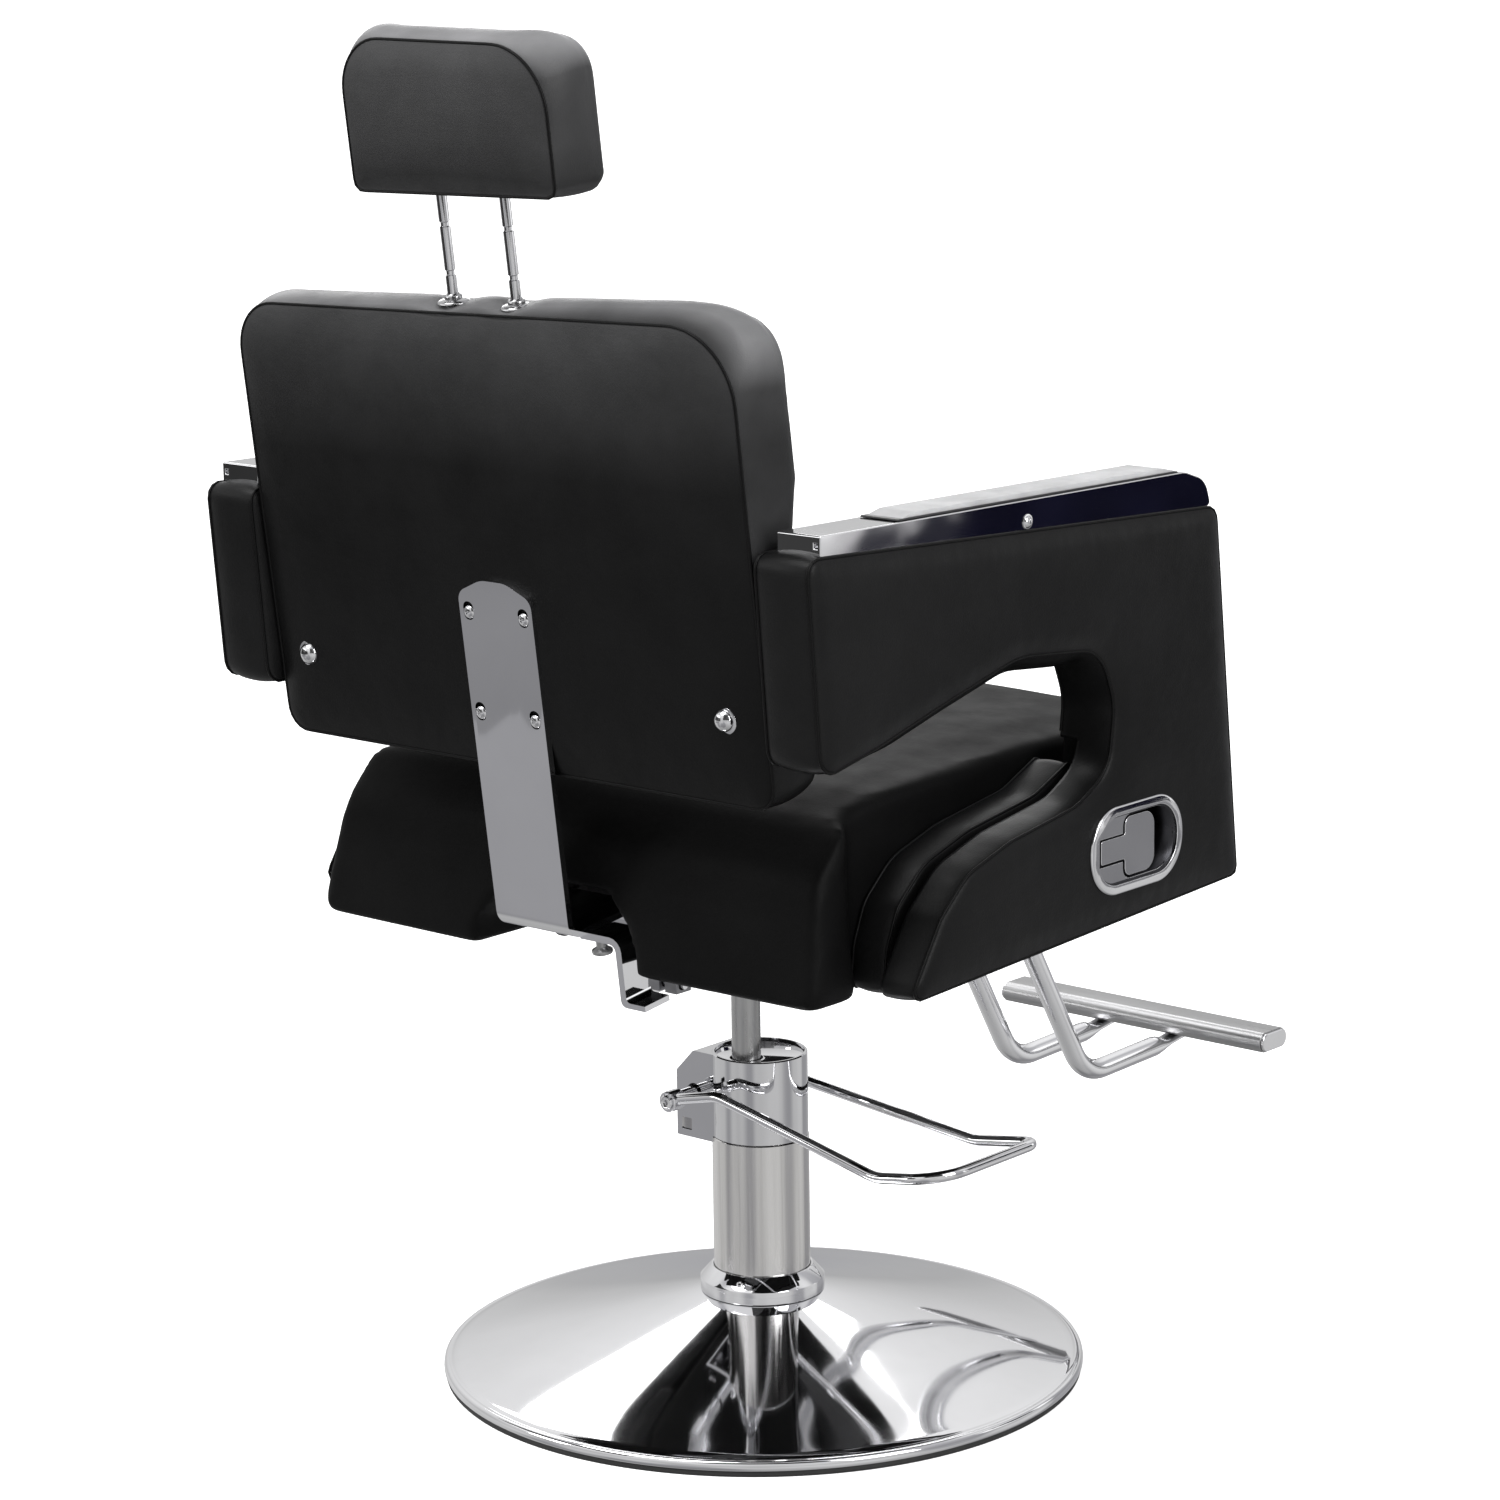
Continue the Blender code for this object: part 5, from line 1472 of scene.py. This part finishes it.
def build_camera(settings):
    """The camera, turned round the point it looks at."""
    data = bpy.data.cameras.new("chair_camera")
    camera = bpy.data.objects.new("chair_camera", data)
    bpy.context.scene.collection.objects.link(camera)
    across, up = settings.azimuth, settings.elevation
    back = Vector((math.sin(across) * math.cos(up), -math.cos(across) * math.cos(up), math.sin(up)))
    right = (-back).cross(Vector((0.0, 0.0, 1.0))).normalized()
    above = right.cross(-back)
    turn = settings.roll
    rolled_right = right * math.cos(turn) + above * math.sin(turn)
    rolled_above = above * math.cos(turn) - right * math.sin(turn)
    matrix = Matrix((rolled_right, rolled_above, back)).transposed().to_4x4()
    matrix.translation = Vector(settings.aim) + back * settings.distance
    camera.matrix_world = matrix
    data.sensor_width = 36.0
    data.lens = settings.lens
    data.clip_start = 0.05
    data.clip_end = 200.0
    bpy.context.scene.camera = camera


def build_floor(settings):
    """A large plain floor."""
    work = bmesh.new()
    bmesh.ops.create_grid(work, x_segments=8, y_segments=8, size=30.0)
    mesh = bpy.data.meshes.new("floor")
    work.to_mesh(mesh)
    work.free()
    mesh.materials.append(floor_material(settings.floor))
    floor = bpy.data.objects.new("studio_floor", mesh)
    bpy.context.scene.collection.objects.link(floor)
    floor.visible_glossy = False


def build_world():
    """An uneven studio for the reflections, and a plain backdrop."""
    world = bpy.data.worlds.new("studio")
    bpy.context.scene.world = world
    world.use_nodes = True
    tree = world.node_tree
    shader = tree.nodes["Background"]
    place = node(tree, "ShaderNodeTexCoord", "direction").outputs["Generated"]
    parts = node(tree, "ShaderNodeSeparateXYZ", "height")
    feed(tree, parts, Vector=place)
    level = spread(tree, parts.outputs["Z"], 0.0, 1.0, -1.0, 1.0)
    light = ramp(tree, level, [(0.0, (0.35,) * 3), (0.30, (0.66,) * 3), (0.42, (0.74,) * 3), (0.50, (0.60,) * 3),
                               (0.60, (0.72,) * 3), (0.80, (0.95,) * 3), (1.0, (1.0,) * 3)])
    patches = noise(tree, stretch(tree, place, (1.0, 1.0, 0.55)), 1.35, 1.0, 0.4)
    shadows = ramp(tree, patches, [(0.40, (0.55, 0.55, 0.57)), (0.50, (0.88,) * 3), (0.60, (1.0,) * 3)])
    uneven = node(tree, "ShaderNodeMix", "uneven studio", data_type="RGBA", blend_type="MULTIPLY")
    uneven.inputs[0].default_value = 1.0
    tree.links.new(light, uneven.inputs[6])
    tree.links.new(shadows, uneven.inputs[7])
    light = uneven.outputs[2]
    seen = node(tree, "ShaderNodeLightPath", "what the camera sees").outputs["Is Camera Ray"]
    mixed = node(tree, "ShaderNodeMix", "plain backdrop", data_type="RGBA")
    tree.links.new(seen, mixed.inputs[0])
    tree.links.new(light, mixed.inputs[6])
    mixed.inputs[7].default_value = (1.0, 1.0, 1.0, 1.0)
    tree.links.new(mixed.outputs[2], shader.inputs["Color"])
    shader.inputs["Strength"].default_value = 1.0


def soft_light(name, place, aim, width, height, strength):
    """A large soft lamp turned to a point."""
    data = bpy.data.lights.new(name, "AREA")
    data.shape = "RECTANGLE"
    data.size = width
    data.size_y = height
    data.energy = strength
    lamp = bpy.data.objects.new(name, data)
    bpy.context.scene.collection.objects.link(lamp)
    lamp.location = place
    lamp.rotation_euler = (Vector(aim) - Vector(place)).to_track_quat("-Z", "Y").to_euler()
    lamp.visible_camera = False
    return lamp


def build_card(name, corners, dark, light, scale, edge=0.15):
    """A card that only reflections see."""
    made, tree, shader, place = start_material(name)
    tone = ramp(tree, noise(tree, place, scale, 2.0), [(0.5 - edge, dark), (0.5 + edge, light)])
    feed(tree, shader, Base_Color=(0.0, 0.0, 0.0, 1.0), Roughness=0.9, Emission_Color=tone)
    shader.inputs["Emission Strength"].default_value = 1.0
    shader.inputs["Specular IOR Level"].default_value = 0.0
    mesh = mesh_from(name, corners, [(0, 1, 2, 3)])
    mesh.materials.append(made)
    card = bpy.data.objects.new(name, mesh)
    bpy.context.scene.collection.objects.link(card)
    card.visible_camera = False
    card.visible_diffuse = False
    card.visible_shadow = False


def build_cards():
    """Light and dark cards round the chair."""
    build_card("arm_card", [(-1.2, -1.75, 0.36), (-1.2, -0.96, 0.36), (-1.2, -0.96, 0.86), (-1.2, -1.75, 0.86)],
               (0.003, 0.003, 0.008), (0.008, 0.008, 0.020), 5.0)
    build_card("blotched_card", [(-1.2, -0.96, 0.40), (-1.2, -0.74, 0.46), (-1.2, -0.74, 0.80), (-1.2, -0.96, 0.86)],
               (0.02, 0.02, 0.03), (0.62, 0.61, 0.62), 11.0, 0.06)
    build_card("front_card", [(-1.45, -1.05, 0.0), (-0.90, -2.20, 0.0), (-2.25, -3.40, 0.0), (-3.10, -2.30, 0.0)],
               (0.20, 0.20, 0.21), (0.30, 0.30, 0.31), 1.2)
    build_card("front_glow", [(-1.05, -2.55, 0.40), (-2.45, -1.35, 0.40), (-2.45, -1.35, 1.25), (-1.05, -2.55, 1.25)],
               (1.15,) * 3, (1.35,) * 3, 1.2)
    build_card("top_glow", [(0.73, -1.69, 1.30), (1.87, -0.71, 1.30), (1.87, -0.71, 1.80), (0.73, -1.69, 1.80)],
               (3.8,) * 3, (4.2,) * 3, 1.2)
    build_card("rear_glow", [(2.29, 1.32, 1.15), (0.91, 2.48, 1.15), (0.91, 2.48, 2.20), (2.29, 1.32, 2.20)],
               (1.7,) * 3, (1.9,) * 3, 1.2)
    build_card("rear_flag", [(1.05, 0.52, 0.52), (0.12, 1.33, 0.52), (0.12, 1.33, 0.98), (1.05, 0.52, 0.98)],
               (0.03, 0.03, 0.03), (0.05, 0.05, 0.05), 1.2)
    build_card("camera_flag", [(-1.20, 0.55, 0.80), (-0.37, 1.27, 0.80), (-0.37, 1.27, 2.20), (-1.20, 0.55, 2.20)],
               (0.05, 0.05, 0.05), (0.07, 0.07, 0.07), 1.2)
    build_card("rear_card", [(0.62, 1.90, 0.0), (1.72, 0.80, 0.0), (2.70, 1.78, 0.0), (1.60, 2.88, 0.0)],
               (0.24, 0.24, 0.25), (0.31, 0.31, 0.32), 1.2)


def build_spot():
    """A soft spot on the headrest."""
    data = bpy.data.lights.new("headrest_spot", "SPOT")
    data.energy = 260.0
    data.spot_size = math.radians(24.0)
    data.spot_blend = 1.0
    data.shadow_soft_size = 0.45
    lamp = bpy.data.objects.new("headrest_spot", data)
    bpy.context.scene.collection.objects.link(lamp)
    lamp.location = (-2.0, 1.0, 2.6)
    lamp.rotation_euler = (Vector((0.0, 0.26, 1.17)) - lamp.location).to_track_quat("-Z", "Y").to_euler()


def build_lights(settings):
    """The wide light from above and the two soft boxes."""
    data = bpy.data.lights.new("overhead", "SUN")
    data.energy = settings.key
    data.angle = math.radians(35.0)
    lamp = bpy.data.objects.new("overhead", data)
    bpy.context.scene.collection.objects.link(lamp)
    lamp.rotation_euler = (math.radians(-18.0), math.radians(14.0), 0.0)
    soft_light("side_box", (-3.2, 0.4, 2.2), (0.0, 0.0, 0.6), 1.6, 2.4, 60.0)
    soft_light("rear_box", (2.6, 3.2, 1.8), (0.0, 0.2, 0.6), 1.2, 2.2, 45.0)


def build_stage():
    """Camera, floor, backdrop, lamps and cards."""
    settings = bpy.context.scene.chair_stage
    build_camera(settings)
    build_floor(settings)
    build_world()
    build_lights(settings)
    build_cards()
    build_spot()
    bpy.context.scene.view_settings.view_transform = "Standard"


# ---------------------------------------------------------------- operators


class CHAIR_OT_stage(bpy.types.Operator):
    """Makes the camera, the floor and the studio light"""

    bl_idname = "chair.stage"
    bl_label = "Stage"

    def execute(self, context):
        build_stage()
        return {"FINISHED"}


class CHAIR_OT_base(bpy.types.Operator):
    """Makes the round base, its rubber ring and the hub collar"""

    bl_idname = "chair.base"
    bl_label = "Base"

    def execute(self, context):
        build_base()
        return {"FINISHED"}


class CHAIR_OT_pump(bpy.types.Operator):
    """Makes the pump's sleeve, shroud, gland and ram"""

    bl_idname = "chair.pump"
    bl_label = "Pump"

    def execute(self, context):
        build_pump()
        return {"FINISHED"}


class CHAIR_OT_pedal(bpy.types.Operator):
    """Makes the pedal's bar and shaft"""

    bl_idname = "chair.pedal"
    bl_label = "Pedal"

    def execute(self, context):
        build_pedal()
        return {"FINISHED"}


class CHAIR_OT_footrest(bpy.types.Operator):
    """Makes the footrest's tubes and bar"""

    bl_idname = "chair.footrest"
    bl_label = "Footrest"

    def execute(self, context):
        build_footrest()
        return {"FINISHED"}


class CHAIR_OT_under_seat(bpy.types.Operator):
    """Finishes what is under the seat"""

    bl_idname = "chair.under_seat"
    bl_label = "Under the seat"

    def execute(self, context):
        build_under_seat()
        return {"FINISHED"}


class CHAIR_OT_seat_cushion(bpy.types.Operator):
    """Makes the seat cushion"""

    bl_idname = "chair.seat_cushion"
    bl_label = "Seat cushion"

    def execute(self, context):
        build_seat_cushion()
        return {"FINISHED"}


class CHAIR_OT_side_panels(bpy.types.Operator):
    """Makes the two padded side panels"""

    bl_idname = "chair.side_panels"
    bl_label = "Side panels"

    def execute(self, context):
        build_side_panels()
        return {"FINISHED"}


class CHAIR_OT_bolsters(bpy.types.Operator):
    """Makes the two bolsters beside the seat"""

    bl_idname = "chair.bolsters"
    bl_label = "Bolsters"

    def execute(self, context):
        build_bolsters()
        return {"FINISHED"}


class CHAIR_OT_arm_tops(bpy.types.Operator):
    """Makes the arms' caps, pads and bolts"""

    bl_idname = "chair.arm_tops"
    bl_label = "Arm tops"

    def execute(self, context):
        build_arm_tops()
        return {"FINISHED"}


class CHAIR_OT_recline_lever(bpy.types.Operator):
    """Makes the recline lever and its escutcheon"""

    bl_idname = "chair.recline_lever"
    bl_label = "Recline lever"

    def execute(self, context):
        build_recline_lever()
        return {"FINISHED"}


class CHAIR_OT_back_cushion(bpy.types.Operator):
    """Makes the back's cushion"""

    bl_idname = "chair.back_cushion"
    bl_label = "Back cushion"

    def execute(self, context):
        build_back_cushion()
        return {"FINISHED"}


class CHAIR_OT_back_bracket(bpy.types.Operator):
    """Makes the bracket, its screws and the bolts"""

    bl_idname = "chair.back_bracket"
    bl_label = "Back bracket"

    def execute(self, context):
        build_back_bracket()
        return {"FINISHED"}


class CHAIR_OT_recline_link(bpy.types.Operator):
    """Makes the studs and the arm under the seat"""

    bl_idname = "chair.recline_link"
    bl_label = "Recline link"

    def execute(self, context):
        build_recline_link()
        return {"FINISHED"}


class CHAIR_OT_headrest(bpy.types.Operator):
    """Makes the headrest, its posts and collars"""

    bl_idname = "chair.headrest"
    bl_label = "Headrest"

    def execute(self, context):
        build_headrest()
        return {"FINISHED"}


OPERATORS = (
    CHAIR_OT_stage, CHAIR_OT_base, CHAIR_OT_pump, CHAIR_OT_pedal, CHAIR_OT_footrest, CHAIR_OT_under_seat,
    CHAIR_OT_seat_cushion, CHAIR_OT_side_panels, CHAIR_OT_bolsters, CHAIR_OT_arm_tops, CHAIR_OT_recline_lever,
    CHAIR_OT_back_cushion, CHAIR_OT_back_bracket, CHAIR_OT_recline_link, CHAIR_OT_headrest,
)


class CHAIR_PT_looks(bpy.types.Panel):
    """Lists the chair's sizes, colours and pieces."""

    bl_idname = "CHAIR_PT_looks"
    bl_label = "Styling Chair"
    bl_space_type = "VIEW_3D"
    bl_region_type = "UI"
    bl_category = "Chair"

    def draw(self, context):
        layout = self.layout
        for group in ("chair_leather", "chair_metal", "chair_stage"):
            settings = getattr(context.scene, group)
            column = layout.column(align=True)
            for name in settings.__annotations__:
                column.prop(settings, name)
        for made in OPERATORS:
            layout.operator(made.bl_idname)


SETTINGS = {
    "chair_leather": ChairLeatherSettings,
    "chair_metal": ChairMetalSettings,
    "chair_stage": ChairStageSettings,
}
CLASSES = (*SETTINGS.values(), *OPERATORS, CHAIR_PT_looks)


def register():
    for made in CLASSES:
        bpy.utils.register_class(made)
    for name, group in SETTINGS.items():
        setattr(bpy.types.Scene, name, PointerProperty(type=group))


def unregister():
    for name in SETTINGS:
        delattr(bpy.types.Scene, name)
    for made in reversed(CLASSES):
        bpy.utils.unregister_class(made)


def main():
    """Makes the whole scene."""
    register()
    for made in OPERATORS:
        name = made.bl_idname.split(".")[1]
        getattr(bpy.ops.chair, name)()


if __name__ == "__main__":
    main()
